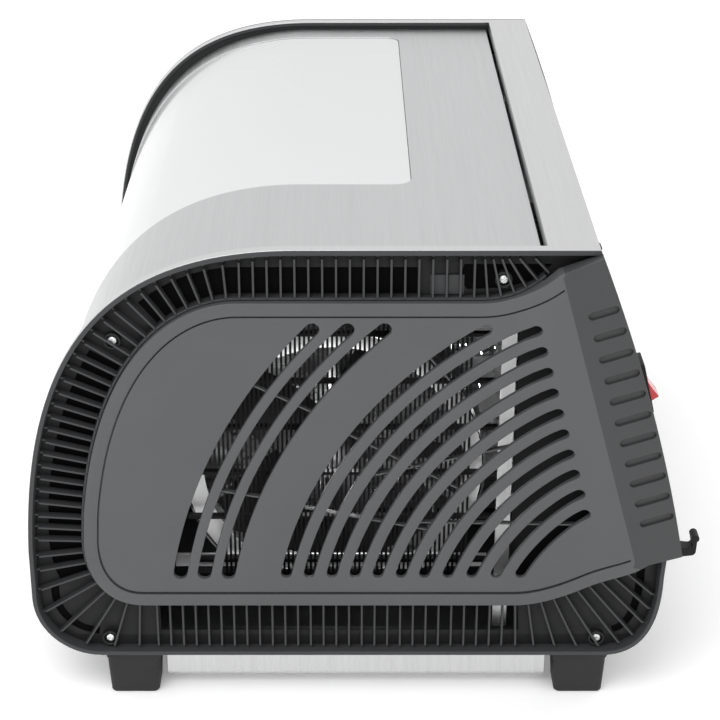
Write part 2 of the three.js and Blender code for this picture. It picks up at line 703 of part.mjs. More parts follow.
// ---------------------------------------------------------------- front controls and drawer
function buildControls() {
  place(
    'display_window',
    box(DISPLAY.left, DISPLAY.right, FASCIA_FACE, FASCIA_FACE + DISPLAY.thick, DISPLAY.foot, DISPLAY.head),
    'display',
  );
  for (let i = 0; i < PANEL.buttons; i++) {
    const x = PANEL.firstX + i * PANEL.pitch;
    const cap = rodY(x, FASCIA_FACE - PANEL.proud, FASCIA_FACE + 6, PANEL.z, PANEL.buttonRadius);
    place(`button_${i + 1}`, cap, 'black');
  }
  const boardFace = FASCIA_FACE + 12.5;
  const board = box(142, 260, boardFace, boardFace + 1.6, 79, 110);
  const chips = [150, 170, 232].map((x) => box(x, x + 12, boardFace - 2.4, boardFace + 0.2, 81, 89));
  place('control_board', join(board, ...chips), 'board');
  place('drip_drawer', dripDrawer(), 'steel');
}

// A front that follows the fascia, a hooked pull along it, and an open pan behind it.
function dripDrawer() {
  const { left, right, foot, head, wall, rear, panHead } = DRAWER;
  const sheet = slab(offset(BODY, -FRAME_INSET), left, right, [offset(BODY, -FRAME_INSET - 3).reverse()]);
  const face = cut(sheet, behind(SEAM_Y), below(foot), above(head));
  const pullTop = head - 3;
  const shelf = box(PULL.left, PULL.right, PULL.front + 2, FASCIA_FACE + 2.5, pullTop - 3, pullTop);
  const lip = box(PULL.left, PULL.right, PULL.front, PULL.front + PULL.thick, pullTop - 7, pullTop);
  const side = 6; // from the front's ends to the pan's sides
  const floor = foot + 3;
  const outer = box(left + side, right - side, FASCIA_FACE + 1.5, rear, floor, panHead);
  const hollow = box(left + side + wall, right - side - wall, -212, rear - wall, floor + wall, FAR);
  return join(face, shelf, lip, cut(outer, hollow));
}

// ---------------------------------------------------------------- cavity, racks and trays
// The outline of a rack wall: under the door's seal, with its foot on the cavity floor.
function rackOutline() {
  const sealDepth = DOOR_THICK + SEAL.gap + SEAL.thick;
  const line = offset(doorLine(), -sealDepth - 0.6, false);
  const under = line.filter((p) => p.x < 108.5 && p.y > FASCIA_TOP + 5);
  const foot = CAVITY.floor + FIT;
  const rear = CAVITY.rear - 0.5;
  return [at(CAVITY.front, foot), at(rear, foot), at(rear, 316), ...under];
}

const shelfZ = (level) => TRAY.firstZ + level * TRAY.pitch;

function rackWall(x0, x1, railX0, railX1, holes) {
  let wall = slab(rackOutline(), x0, x1);
  wall = cut(wall, ...holes);
  for (let level = 0; level < TRAY.count; level++) {
    const z = shelfZ(level);
    wall = join(wall, box(railX0, railX1, TRAY.front + 4, TRAY.rear, z - RAIL.thick, z));
  }
  const drawerFloor = DRAWER.foot + 3;
  const runnerZ = drawerFloor - FIT - RAIL.thick;
  return join(wall, box(railX0, railX1, -185, TRAY.rear, runnerZ, runnerZ + RAIL.thick));
}

// Rows of openings between the shelves, for the fan's air.
function airHoles(x0, x1) {
  const holes = [];
  for (let level = 0; level < TRAY.count; level++) {
    for (const y of [-118, -52, 14, 80]) {
      holes.push(box(x0 - 1, x1 + 1, y - 24, y + 24, shelfZ(level) + 11, shelfZ(level) + 21));
    }
  }
  return holes;
}

function dryingTray(level) {
  const z = shelfZ(level) + FIT;
  const x0 = CAVITY.left + 1.6;
  const x1 = CAVITY.right - 1.6;
  const wall = 4;
  const rim = cut(
    box(x0, x1, TRAY.front, TRAY.rear, z, z + TRAY.height),
    box(x0 + wall, x1 - wall, TRAY.front + wall, TRAY.rear - wall, z - 1, z + 20),
  );
  const bars = [];
  for (let i = 1; i <= TRAY.bars; i++) {
    const x = x0 + ((x1 - x0) * i) / (TRAY.bars + 1);
    bars.push(box(x - 1, x + 1, TRAY.front + 1, TRAY.rear - 1, z + 1, z + 3));
  }
  return join(rim, Manifold.union(bars));
}

function buildCavity() {
  const { left, right, front, rear, floor } = CAVITY;
  const base = box(left, right, front, rear + SHEET, floor - SHEET, floor);
  const back = box(left, right, rear, rear + SHEET, floor - SHEET, 314);
  place('cavity_liner', join(base, back), 'steel');
  const leftHoles = airHoles(left - WALL, left);
  const leftWall = rackWall(left - WALL, left - FIT, left - 0.5, left + RAIL.reach, leftHoles);
  place('rack_wall_left', leftWall, 'steel');
  const rightHoles = airHoles(right, right + WALL);
  const rightWall = rackWall(right + FIT, right + WALL, right - RAIL.reach, right + 0.5, rightHoles);
  place('rack_wall_right', rightWall, 'steel');
  for (let level = 0; level < TRAY.count; level++) {
    place(`drying_tray_${level + 1}`, dryingTray(level), 'chrome');
  }
}

// ---------------------------------------------------------------- fan, motor and heater
// The (y, z) point at a distance and an angle in degrees from the fan's axis.
function aroundFan(reach, angle) {
  const turn = THREE.MathUtils.degToRad(angle);
  return at(FAN.y + reach * Math.cos(turn), FAN.z + reach * Math.sin(turn));
}

// Where the machine side of the right rack wall is, with a gap to it.
const BAY_WALL = CAVITY.right + WALL + FIT;

function fanShroud() {
  const { y, z, ring, ringWall, front, rear } = FAN;
  const tube = rodX(front, rear, y, z, ring, 40);
  const throat = rodX(front - 1, rear + 1, y, z, ring - ringWall, 40);
  const posts = [45, 135, 225, 315].map((angle) => {
    const spot = aroundFan(ring - ringWall / 2, angle);
    return rodX(BAY_WALL, front + 4, spot.x, spot.y, 3, 8);
  });
  return join(cut(tube, throat), ...posts);
}

function fanMotor() {
  const { front, rear, radius, bore } = MOTOR;
  const arms = [90, 210, 330].map((angle) => {
    const tip = aroundFan(FAN.ring - FAN.ringWall - 1, angle);
    return bar(rear - 4, rear - 1, at(FAN.y, FAN.z), tip, 8);
  });
  const can = rodX(front, rear, FAN.y, FAN.z, radius, 24);
  return cut(join(can, ...arms), rodX(front + 18, rear + 1, FAN.y, FAN.z, bore, 12));
}

function fanBlade() {
  const { y, z, blade, bladeX, hub } = FAN;
  const root = 10;
  const blades = [];
  for (let i = 0; i < FAN.blades; i++) {
    const geometry = new THREE.BoxGeometry(3, blade - root, 44);
    geometry.rotateY(THREE.MathUtils.degToRad(58));
    geometry.translate(0, (blade + root) / 2, 0);
    geometry.rotateX((2 * Math.PI * i) / FAN.blades);
    geometry.translate(bladeX, y, z);
    blades.push(solidOf(geometry));
  }
  const boss = rodX(bladeX - 14, bladeX + 14, y, z, hub, 20);
  const shaft = rodX(MOTOR.front + 24, bladeX - 10, y, z, MOTOR.shaft, 10);
  return join(boss, shaft, ...blades);
}

function heaterCoil() {
  const { x, radius, tube, leg } = HEATER;
  const loop = new THREE.TorusGeometry(radius, tube, 7, 26);
  loop.rotateY(Math.PI / 2);
  loop.translate(x, FAN.y, FAN.z);
  const legs = [30, 150, 270].map((angle) => {
    const spot = aroundFan(radius, angle);
    return rodX(BAY_WALL, x, spot.x, spot.y, leg, 8);
  });
  return join(solidOf(loop), ...legs);
}

function buildMachine() {
  place('fan_shroud', fanShroud(), 'chrome');
  place('fan_motor', fanMotor(), 'steel');
  place('fan_blade', fanBlade(), 'black');
  place('heater_coil', heaterCoil(), 'chrome');

  const { y, z } = THERMOSTAT;
  const body = rodX(BAY_WALL, BAY_WALL + 14, y, z, 6, 12);
  const stem = rodX(BAY_WALL + 13, BAY_WALL + 30, y, z, 2.5, 8);
  place('thermostat', join(body, stem), 'steel');
}

// ---------------------------------------------------------------- door
function doorFrame() {
  const skin = slab(doorBand(0, DOOR_THICK), -DOOR_HALF, DOOR_HALF);
  const barrel = rodX(-DOOR_HALF, DOOR_HALF, HINGE.y, HINGE.z, HINGE.radius, 24);
  const opening = box(WINDOW.left, WINDOW.right, -FAR, WINDOW.rear, WINDOW.foot, FAR);
  const pinHole = rodX(DOOR_HALF - PIN.depth - 2, DOOR_HALF + 1, HINGE.y, HINGE.z, PIN.radius + 0.4, 10);
  return cut(join(skin, barrel), opening, pinHole, mirrored(pinHole));
}

function buildDoor() {
  place('door_frame', doorFrame(), 'steel');

  const pane = slab(
    doorBand(WINDOW.sink, WINDOW.sink + WINDOW.thick),
    WINDOW.left + FIT,
    WINDOW.right - FIT,
  ).intersect(box(-FAR, FAR, -FAR, WINDOW.rear - FIT, WINDOW.foot + FIT, FAR));
  place('door_window', pane, 'window');

  const sealBand = doorBand(DOOR_THICK + SEAL.gap, DOOR_THICK + SEAL.gap + SEAL.thick);
  const sealRear = 102.5;
  const sealFoot = 117;
  const middle = box(
    SEAL.left + SEAL.width,
    SEAL.right - SEAL.width,
    -FAR,
    sealRear - SEAL.width,
    sealFoot + SEAL.width,
    FAR,
  );
  const seal = slab(sealBand, SEAL.left, SEAL.right);
  place('door_gasket', cut(seal, middle, behind(sealRear), below(sealFoot)), 'gasket');

  const { half, front, z, height, depth } = HANDLE;
  const grip = box(-half, half, front, front + depth, z - height / 2, z + height / 2);
  const postX = half - 12;
  const posts = [-postX, postX].map((x) => box(x - 4, x + 4, front + 1, DOOR_FRONT - FIT, z - 3.5, z + 3.5));
  place('door_handle', join(grip, ...posts), 'chrome');

  const pin = rodX(DOOR_HALF - PIN.depth, DOOR_HALF + 0.4, HINGE.y, HINGE.z, PIN.radius, 10);
  placePair('hinge_pin', pin, 'chrome');
}

buildEnds();
buildHousing();
buildRearParts();
buildControls();
buildCavity();
buildMachine();
buildDoor();

export default dehydrator;
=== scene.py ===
import math

import bpy
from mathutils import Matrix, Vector
from mathutils.geometry import delaunay_2d_cdt, intersect_line_line_2d, tessellate_polygon
from mathutils.kdtree import KDTree


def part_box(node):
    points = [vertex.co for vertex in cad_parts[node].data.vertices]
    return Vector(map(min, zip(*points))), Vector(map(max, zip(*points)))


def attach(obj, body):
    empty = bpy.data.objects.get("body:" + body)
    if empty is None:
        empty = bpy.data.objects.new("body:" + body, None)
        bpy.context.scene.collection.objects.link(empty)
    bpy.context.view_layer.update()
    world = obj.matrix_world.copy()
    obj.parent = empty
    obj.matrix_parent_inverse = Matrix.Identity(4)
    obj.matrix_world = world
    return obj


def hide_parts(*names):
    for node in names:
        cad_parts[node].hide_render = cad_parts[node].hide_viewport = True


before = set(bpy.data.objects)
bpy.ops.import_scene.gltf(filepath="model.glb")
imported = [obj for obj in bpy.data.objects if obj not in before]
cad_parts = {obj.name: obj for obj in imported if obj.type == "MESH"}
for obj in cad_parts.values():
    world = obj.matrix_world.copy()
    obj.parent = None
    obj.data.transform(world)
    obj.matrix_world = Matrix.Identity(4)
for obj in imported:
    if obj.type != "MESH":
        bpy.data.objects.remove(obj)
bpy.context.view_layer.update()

# ---------------------------------------------------------------- sizes, in millimetres
MM = 0.001


def at(across, up):
    """A point of an outline: (y, z) in a side view, or (x, distance along a track)."""
    return Vector((across, up))


def span(node):
    """A CAD node's lowest and highest corners, in millimetres."""
    low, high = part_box(node)
    return low / MM, high / MM


(FRAME_BACK, FRONT, BOTTOM), (RIM_FACE, _, TOP) = span("side_frame_right")
SHELL_FOOT = span("outer_shell")[0].z
SHELL_HALF = span("outer_shell")[1].x
DOOR_LOW, DOOR_HIGH = span("door_frame")
DOOR_HALF = DOOR_HIGH.x
PANE_LOW, PANE_HIGH = span("door_window")
SEAL_LOW, SEAL_HIGH = span("door_gasket")
COVER_CREST = span("vent_cover_right")[1].x
CAVITY_LOW, CAVITY_HIGH = span("cavity_liner")

CORNER = 46  # radius of the lower front corner
REAR_TOP = 155.5  # y where the slanted back meets the top
REAR_LOW = 212  # y where the back meets the lower rear corner
REAR_LOW_Z = 112
CURVE_FOOT_Z = 118  # the front curve starts here, and ends at CURVE_HEAD_Y on the top
CURVE_HEAD_Y = -37
SHEET = 1.2
INSET = 1.5  # end frames sit under the shell by this much
WALL = 2.4
SLOT_Y = 122.5  # front edge of the fixed rear strip
ARCH_HALF = 268  # half the length between the shell's two arches
HINGE = at(113.5, 323.7)
DOOR_THICK = 9

RISE = 8.5  # of the grip's crest above the plate
COVER_FACE = COVER_CREST - RISE
COVER_BACK = COVER_FACE - 3.5
FALL = 5  # of the grip's rear edge above the plate
RAMP_RUN = 38  # over which the plate rises to the crest
RAMP_END = 0.82  # share of a half wave in that rise, so that the crest is a crease
CREASE_HEAD = at(130, 326.6)
CREASE_FOOT = at(189.5, 112.9)
SLOT_CENTRE = at(228.5, 42.3)  # of every slot's arc
SLOT_FOOT_Z = 101.8
SLOT_HEAD_Z = 283.3
WIDE_SLOTS = {"count": 3, "radius": 351.2, "pitch": 16.05, "width": 9.3}
NARROW_SLOTS = {"count": 11, "radius": 280.7, "pitch": 15.1, "width": 7.3}
GROOVES = {"count": 11, "first_z": 295, "pitch": 15.1, "width": 5.4, "depth": 2.3, "tilt": 0.27}
FLOOR_X = FRAME_BACK + 2  # outer face of an end frame's floor
INNER_HALF = FRAME_BACK - 0.4  # half the length of what fits between the end frames
RIB_TOP = 275.3
RIB_PITCH = 8.4
RIB_THICK = 1.25
SCREWS = [Vector(p) for p in ((-156.1, 272.6), (-168.8, 45.6), (168.2, 45.6), (95, 315.6))]

GRIP_EDGE = [Vector(p) for p in ((221, 117.6), (200, 226), (156.5, 334.8))]  # rear edge, curved

BACK_POINT = at(190.8, 219.1)  # middle of the switch on the slanted back, as (y, z)
BACK_LEAN = math.radians(13.6)
DRAWER_FOOT = 75
DRAWER_HEAD = 110.4
DRAWER_PULL = (-91, -11)  # its left and right ends
BOARD_THICK = 1.6
TRAYS = 5
FIRST_TRAY = 121  # height of the lowest tray's rails
TRAY_PITCH = 32.5


# ---------------------------------------------------------------- outlines, as (y, z) points
def curve(points, *controls, count=20):
    """Carries a list of points on along a Bezier curve from its last point."""
    start = [points[-1]] + [Vector(c) for c in controls]
    for i in range(1, count + 1):
        row = start
        while len(row) > 1:
            row = [a.lerp(b, i / count) for a, b in zip(row, row[1:])]
        points.append(row[0])


def on_circle(centre, radius, angle):
    return Vector(centre) + radius * at(math.cos(angle), math.sin(angle))


def circle(centre, radius, count=24, start=0.0, sweep=2 * math.pi):
    """Points along a circle, anticlockwise, without the doubled last point of a full turn."""
    full = abs(sweep - 2 * math.pi) < 1e-6
    steps = count if full else count - 1
    return [on_circle(centre, radius, start + sweep * i / steps) for i in range(count)]


def body_outline():
    points = [at(FRONT + CORNER, BOTTOM), at(171.6, BOTTOM)]
    curve(points, (196, BOTTOM), (211, 52), (211, 96))
    points.append(at(REAR_LOW, REAR_LOW_Z))
    curve(points, (193.2, 232), (REAR_TOP, TOP), count=24)
    points.append(at(SLOT_Y, TOP))
    points.append(at(CURVE_HEAD_Y, TOP))
    curve(points, (-150, TOP), (-214, 280), (FRONT, CURVE_FOOT_Z), count=40)
    centre = (FRONT + CORNER, BOTTOM + CORNER)
    points += circle(centre, CORNER, 16, math.pi, math.pi / 2)[:-1]
    return points


def cover_outline():
    points = [at(-143.6, 76), at(109, 76)]
    curve(points, (136, 76), (165, 93), (198, 112.6))
    points.append(GRIP_EDGE[0])
    curve(points, *GRIP_EDGE[1:], count=30)
    points.append(at(129, 324.7))
    curve(points, (117, 313), (104.5, 301.8), (80.3, 301.8), count=16)
    points.append(at(-74.7, 301.8))
    curve(points, (-117, 301.8), (-168.4, 262.5), (-180.7, 147.3), count=36)
    points.append(at(-181.8, 128.7))
    curve(points, (-183.6, 97.5), (-168.7, 76), (-143.6, 76), count=16)
    return points[:-1]


def door_line():
    top, front = DOOR_HIGH.z, DOOR_LOW.y
    points = [at(HINGE.x, top), at(CURVE_HEAD_Y, top)]
    curve(points, (-140, top), (-208, 269), (front, CURVE_FOOT_Z), count=44)
    points.append(at(front, DOOR_LOW.z))
    return points


def outward(points, closed=True):
    """The outward way at each point of an anticlockwise outline, longer at sharp corners."""
    count = len(points)
    ways = []
    for i, point in enumerate(points):
        lead = point - points[i - 1] if closed or i else points[1] - point
        trail = points[(i + 1) % count] - point if closed or i + 1 < count else lead
        lead.normalize()
        trail.normalize()
        way = at(lead.y + trail.y, -lead.x - trail.x).normalized()
        ways.append(way / max(way.dot(at(trail.y, -trail.x)), 0.4))
    return ways


def offset(points, distance, closed=True):
    return [p + distance * way for p, way in zip(points, outward(points, closed))]


def even(points, step, closed=True):
    """The same outline with a point every step along it, and its own corners kept."""
    made = []
    ends = points[1:] + points[:1] if closed else points[1:]
    for a, b in zip(points, ends):
        parts = max(1, math.ceil((b - a).length / step))
        made += [a.lerp(b, i / parts) for i in range(parts)]
    if not closed:
        made.append(points[-1])
    return made


def extent(loop):
    """The lowest and highest corners of the rectangle round a loop."""
    ys, zs = zip(*loop)
    return at(min(ys), min(zs)), at(max(ys), max(zs))


def inside(point, loop):
    hit = False
    y, z = point
    before = loop[-1]
    for p in loop:
        if (p.y > z) != (before.y > z):
            if y < (before.x - p.x) * (z - p.y) / (before.y - p.y) + p.x:
                hit = not hit
        before = p
    return hit


BODY = body_outline()
COVER = cover_outline()
DOOR_PATH = door_line()


def crease_y(z):
    share = (CREASE_HEAD.y - z) / (CREASE_HEAD.y - CREASE_FOOT.y)
    return CREASE_HEAD.x + share * (CREASE_FOOT.x - CREASE_HEAD.x)


def from_gap(ring):
    """What is left of a closed ring after a stretch is cut out, starting at the cut."""
    cut = 20  # every cut is longer than this, and every step along a ring is shorter
    first = next(i for i in range(len(ring)) if (ring[i] - ring[i - 1]).length > cut)
    return ring[first:] + ring[:first]


def ahead_run(ring, distance):
    """The stretch of a closed outline that is ahead of the crease, as one open run."""
    return from_gap([p for p in ring if p.x < crease_y(p.y) - distance])


def oval(a, b, width, steps=8):
    """A long hole with round ends, from a to b."""
    turn = math.atan2(b.y - a.y, b.x - a.x)
    far = circle(b, width / 2, steps, turn - math.pi / 2, math.pi)
    return far + circle(a, width / 2, steps, turn + math.pi / 2, math.pi)


def round_rect(x0, x1, y0, y1, radius, steps=5):
    points = []
    corners = ((x1, y0, -90), (x1, y1, 0), (x0, y1, 90), (x0, y0, 180))
    for x, y, start in corners:
        centre = (x + (radius if x == x0 else -radius), y + (radius if y == y0 else -radius))
        points += circle(centre, radius, steps, math.radians(start), math.pi / 2)
    return points


# ---------------------------------------------------------------- mesh building
POINT_GAP = 1.3  # between a moulding's outlines and the points spread over it


class Shape:
    """Closed pieces gathered as vertices in millimetres and faces."""

    def __init__(self):
        self.verts = []
        self.faces = []

    def add(self, verts, faces):
        """Adds one closed piece, and turns its faces outward."""
        verts = [Vector(v) for v in verts]
        volume = 0.0
        for face in faces:
            a = verts[face[0]]
            for i, j in zip(face[1:], face[2:]):
                volume += a.dot(verts[i].cross(verts[j]))
        base = len(self.verts)
        self.verts += verts
        for face in faces:
            ordered = face if volume > 0 else face[::-1]
            self.faces.append([base + i for i in ordered])
        return self

    def join(self, other):
        base = len(self.verts)
        self.verts += other.verts
        self.faces += [[base + i for i in face] for face in other.faces]
        return self

    def moved(self, way):
        made = Shape()
        made.verts = [way(v) for v in self.verts]
        made.faces = self.faces
        return made

    def mirrored(self):
        made = Shape()
        made.verts = [Vector((-v.x, v.y, v.z)) for v in self.verts]
        made.faces = [face[::-1] for face in self.faces]
        return made


def rows_to_faces(rows, width, closed_rows, closed_width=True):
    faces = []
    for i in range(rows if closed_rows else rows - 1):
        for j in range(width if closed_width else width - 1):
            a, b = i * width + j, i * width + (j + 1) % width
            shift = ((i + 1) % rows - i) * width
            faces.append([a, b, b + shift, a + shift])
    if not closed_rows:
        faces.append(list(range(width))[::-1])
        faces.append(list(range((rows - 1) * width, rows * width)))
    return faces


def sweep(shape, path, profile, closed=True):
    """Carries a closed profile of (x, depth) points along a (y, z) path. Depth is inward."""
    verts = []
    for point, way in zip(path, outward(path, closed)):
        verts += [(x, point.x - depth * way.x, point.y - depth * way.y) for x, depth in profile]
    return shape.add(verts, rows_to_faces(len(path), len(profile), closed))


def soft_rect(x0, x1, d0, d1, r):
    """A rectangle with small round corners, as a profile."""
    return [tuple(p) for p in round_rect(x0, x1, d0, d1, r, 3)]


def box(shape, x0, x1, y0, y1, z0, z1):
    verts = [(x, y, z) for x in (x0, x1) for y in (y0, y1) for z in (z0, z1)]
    faces = [[0, 1, 3, 2], [4, 6, 7, 5], [0, 4, 5, 1], [2, 3, 7, 6], [0, 2, 6, 4], [1, 5, 7, 3]]
    return shape.add(verts, faces)


def prism(shape, points, x0, x1):
    """A (y, z) outline carried along X."""
    verts = [(x0, p[0], p[1]) for p in points] + [(x1, p[0], p[1]) for p in points]
    return shape.add(verts, rows_to_faces(2, len(points), False))


def lathe(shape, profile, y, z, sides=32):
    """Turns (radius, x) points about an axis along X. A closed profile gives a ring."""
    ring = abs(profile[0][0]) > 1e-6
    verts = []
    for i in range(sides):
        turn = 2 * math.pi * i / sides
        for radius, x in profile:
            verts.append((x, y + radius * math.cos(turn), z + radius * math.sin(turn)))
    faces = rows_to_faces(sides, len(profile), True, ring)
    return shape.add(verts, faces)


def tube(shape, points, radius, sides=8, closed=False):
    """A round wire along 3-D points."""
    count = len(points)
    points = [Vector(p) for p in points]
    verts = []
    side = None
    for i in range(count):
        before = points[i - 1] if closed or i else points[i]
        after = points[(i + 1) % count] if closed or i + 1 < count else points[i]
        along = (after - before).normalized()
        if side is None:
            side = along.orthogonal().normalized()
        side = (side - along * side.dot(along)).normalized()
        up = along.cross(side)
        for j in range(sides):
            turn = 2 * math.pi * j / sides
            verts.append(points[i] + radius * (math.cos(turn) * side + math.sin(turn) * up))
    return shape.add(verts, rows_to_faces(count, sides, closed))


def flat_fill(loops):
    """Triangles over loops of (y, z) points: the first is the outer one, the rest are holes."""
    return [list(t) for t in tessellate_polygon([[Vector((p.x, p.y, 0)) for p in l] for l in loops])]


def plate(shape, outer, holes, x0, x1, round_edge=0.4):
    """A flat plate across X with holes, its front edges rounded."""
    loops = [outer] + holes
    signs = [-1] + [1] * len(holes)
    steps = [(round_edge, 0.0), (round_edge * 0.3, round_edge * 0.3), (0.0, round_edge)]
    rings = [[offset(l, s * o) if o else l for l, s in zip(loops, signs)] for o, _ in steps]
    xs = [x1 - drop for _, drop in steps]
    rings.append(loops)
    xs.append(x0)
    verts = []
    starts = []
    for x, ring in zip(xs, rings):
        starts.append(len(verts))
        verts += [(x, p.x, p.y) for loop in ring for p in loop]
    faces = [[starts[0] + i for i in t] for t in flat_fill(rings[0])]
    faces += [[starts[-1] + i for i in t[::-1]] for t in flat_fill(loops)]
    orient(faces[: len(faces) // 2], verts, 1)
    orient(faces[len(faces) // 2 :], verts, -1)
    for upper, lower in zip(starts, starts[1:]):
        base = 0
        for loop, sign in zip(loops, signs):
            for i in range(len(loop)):
                a, b = base + i, base + (i + 1) % len(loop)
                quad = [upper + a, lower + a, lower + b, upper + b]
                faces.append(quad if sign < 0 else quad[::-1])
            base += len(loop)
    return shape.add(verts, faces)


def orient(faces, verts, side):
    """Turns flat faces in place so that they look along X, or against it."""
    for face in faces:
        a, b, c = (Vector(verts[i]) for i in face[:3])
        if (b - a).cross(c - a).x * side < 0:
            face.reverse()


def thicken(shape, faces, upper, lower):
    """Closes a sheet between two copies of its points."""
    count = len(upper)
    edges = {}
    for face in faces:
        for a, b in zip(face, face[1:] + face[:1]):
            edges[(a, b)] = True
    rims = [(a, b) for a, b in edges if (b, a) not in edges]
    made = [list(f) for f in faces]
    made += [[count + i for i in f[::-1]] for f in faces]
    made += [[b, a, count + a, count + b] for a, b in rims]
    used = sorted({i for f in made for i in f})
    number = {old: new for new, old in enumerate(used)}
    every = upper + lower
    return shape.add([every[i] for i in used], [[number[i] for i in f] for f in made])


class Track:
    """Distances along a (y, z) path, and points at them."""

    def __init__(self, path):
        self.path = path
        self.ways = outward(path, False)
        self.at = [0.0]
        for a, b in zip(path, path[1:]):
            self.at.append(self.at[-1] + (b - a).length)

    def point(self, x, run, depth):
        i = 0
        while i < len(self.at) - 2 and run > self.at[i + 1]:
            i += 1
        share = (run - self.at[i]) / (self.at[i + 1] - self.at[i])
        spot = self.path[i].lerp(self.path[i + 1], share)
        spot = spot - depth * self.ways[i].lerp(self.ways[i + 1], share)
        return Vector((x, spot.x, spot.y))

    def where(self, test):
        """The first distance at which test(point) holds, to a tenth of a millimetre."""
        run = 0.0
        while run < self.at[-1]:
            p = self.point(0, run, 0)
            if test(p):
                return run
            run += 0.1
        return self.at[-1]


def ring_edges(base, count):
    """The edges of a closed loop of count points, numbered from base."""
    return [(base + i, base + (i + 1) % count) for i in range(count)]


def bent_sheet(shape, track, outer, holes, depth0, depth1):
    """A sheet bent along a track. Its outlines are loops of (x, distance along the track)."""
    verts = []
    edges = []
    for loop in [outer] + holes:
        edges += ring_edges(len(verts), len(loop))
        verts += loop
    xs = [p.x for p in outer]
    runs = [p.y for p in outer]
    for run in track.at:
        if min(runs) + 0.01 < run < max(runs) - 0.01:
            base = len(verts)
            verts += [at(min(xs) - 1, run), at(max(xs) + 1, run)]
            edges.append((base, base + 1))
    flat, _, faces, *_ = delaunay_2d_cdt(verts, edges, [], 0, 1e-4)
    kept = []
    for face in faces:
        middle = sum((flat[i] for i in face), at(0, 0)) / len(face)
        if inside(middle, outer) and not any(inside(middle, hole) for hole in holes):
            kept.append(list(face))
    upper = [track.point(p.x, p.y, depth0) for p in flat]
    lower = [track.point(p.x, p.y, depth1) for p in flat]
    return thicken(shape, kept, upper, lower)


def relief(shape, face_x, back_x, height, outer, holes, pockets, points=(), creases=()):
    """A moulding across X: height(point) over a flat back, with holes, pockets and round edges.

    pockets are (loop, depth). points are spread over the curved parts, and creases are runs of
    points that edges follow.
    """
    edge_steps = [(0.7, 0.0), (0.35, 0.08), (0.1, 0.3), (0.0, 0.7)]
    pocket_steps = [(0.3, 0.0), (0.1, 0.05), (0.0, 0.22)]
    kinds = [("outer", outer, 0)] + [("hole", h, 0) for h in holes]
    kinds += [("pocket", loop, depth) for loop, depth in pockets]
    steps_of = {"outer": edge_steps, "hole": edge_steps, "pocket": pocket_steps}
    sign_of = {"outer": -1, "hole": 1, "pocket": 1}
    tops = [offset(loop, sign_of[kind] * steps_of[kind][0][0]) for kind, loop, _ in kinds]
    flat_points = []
    edges = []
    for loop in tops:
        edges += ring_edges(len(flat_points), len(loop))
        flat_points += loop
    near = KDTree(len(flat_points))
    for i, p in enumerate(flat_points):
        near.insert((p.x, p.y, 0), i)
    near.balance()
    for run in creases:
        edges += ring_edges(len(flat_points), len(run))[:-1]
        flat_points += run
    openings = [(extent(loop), loop) for loop in tops[1:]]
    in_opening = lambda p: any(
        low.x < p.x < high.x and low.y < p.y < high.y and inside(p, loop) for (low, high), loop in openings
    )
    for p in points:
        crowded = near.find((p.x, p.y, 0))[2] < POINT_GAP
        if not crowded and inside(p, tops[0]) and not in_opening(p):
            flat_points.append(p)
    flat, _, faces, ids, *_ = delaunay_2d_cdt(flat_points, edges, [], 0, 1e-4)
    new_of = {old: new for new, olds in enumerate(ids) for old in olds}
    raised = lambda points, drop: [(face_x + height(p) - drop, p.x, p.y) for p in points]
    verts = raised(flat, 0)
    kept = []
    for face in faces:
        middle = sum((flat[i] for i in face), at(0, 0)) / len(face)
        if inside(middle, tops[0]) and not in_opening(middle):
            kept.append(list(face))
    orient(kept, verts, 1)
    base = 0
    back_loops = []
    for (kind, loop, depth), top in zip(kinds, tops):
        sign = sign_of[kind]
        last = [new_of[base + i] for i in range(len(top))]
        base += len(top)
        for out, drop in steps_of[kind][1:]:
            ring = offset(loop, sign * out) if out else loop
            last = stitch(verts, kept, last, raised(ring, drop), sign)
        if kind == "pocket":
            ring = offset(loop, -0.05)
            last = stitch(verts, kept, last, raised(ring, depth), sign)
            floor = [[last[i] for i in t] for t in flat_fill([ring])]
            orient(floor, verts, 1)
            kept += floor
        else:
            last = stitch(verts, kept, last, [(back_x, p.x, p.y) for p in loop], sign)
            back_loops.append((loop, last))
    numbers = [i for _, last in back_loops for i in last]
    back = [[numbers[i] for i in t] for t in flat_fill([loop for loop, _ in back_loops])]
    orient(back, verts, -1)
    kept += back
    used = sorted({i for f in kept for i in f})
    number = {old: new for new, old in enumerate(used)}
    base = len(shape.verts)
    shape.verts += [Vector(verts[i]) for i in used]
    shape.faces += [[base + number[i] for i in f] for f in kept]
    return shape


def stitch(verts, faces, last, ring, sign):
    """Adds a ring of points, joined by quads to the ring before it."""
    first = len(verts)
    verts += ring
    count = len(ring)
    for i in range(count):
        j = (i + 1) % count
        quad = [last[i], first + i, first + j, last[j]]
        faces.append(quad if sign < 0 else quad[::-1])
    return [first + i for i in range(count)]


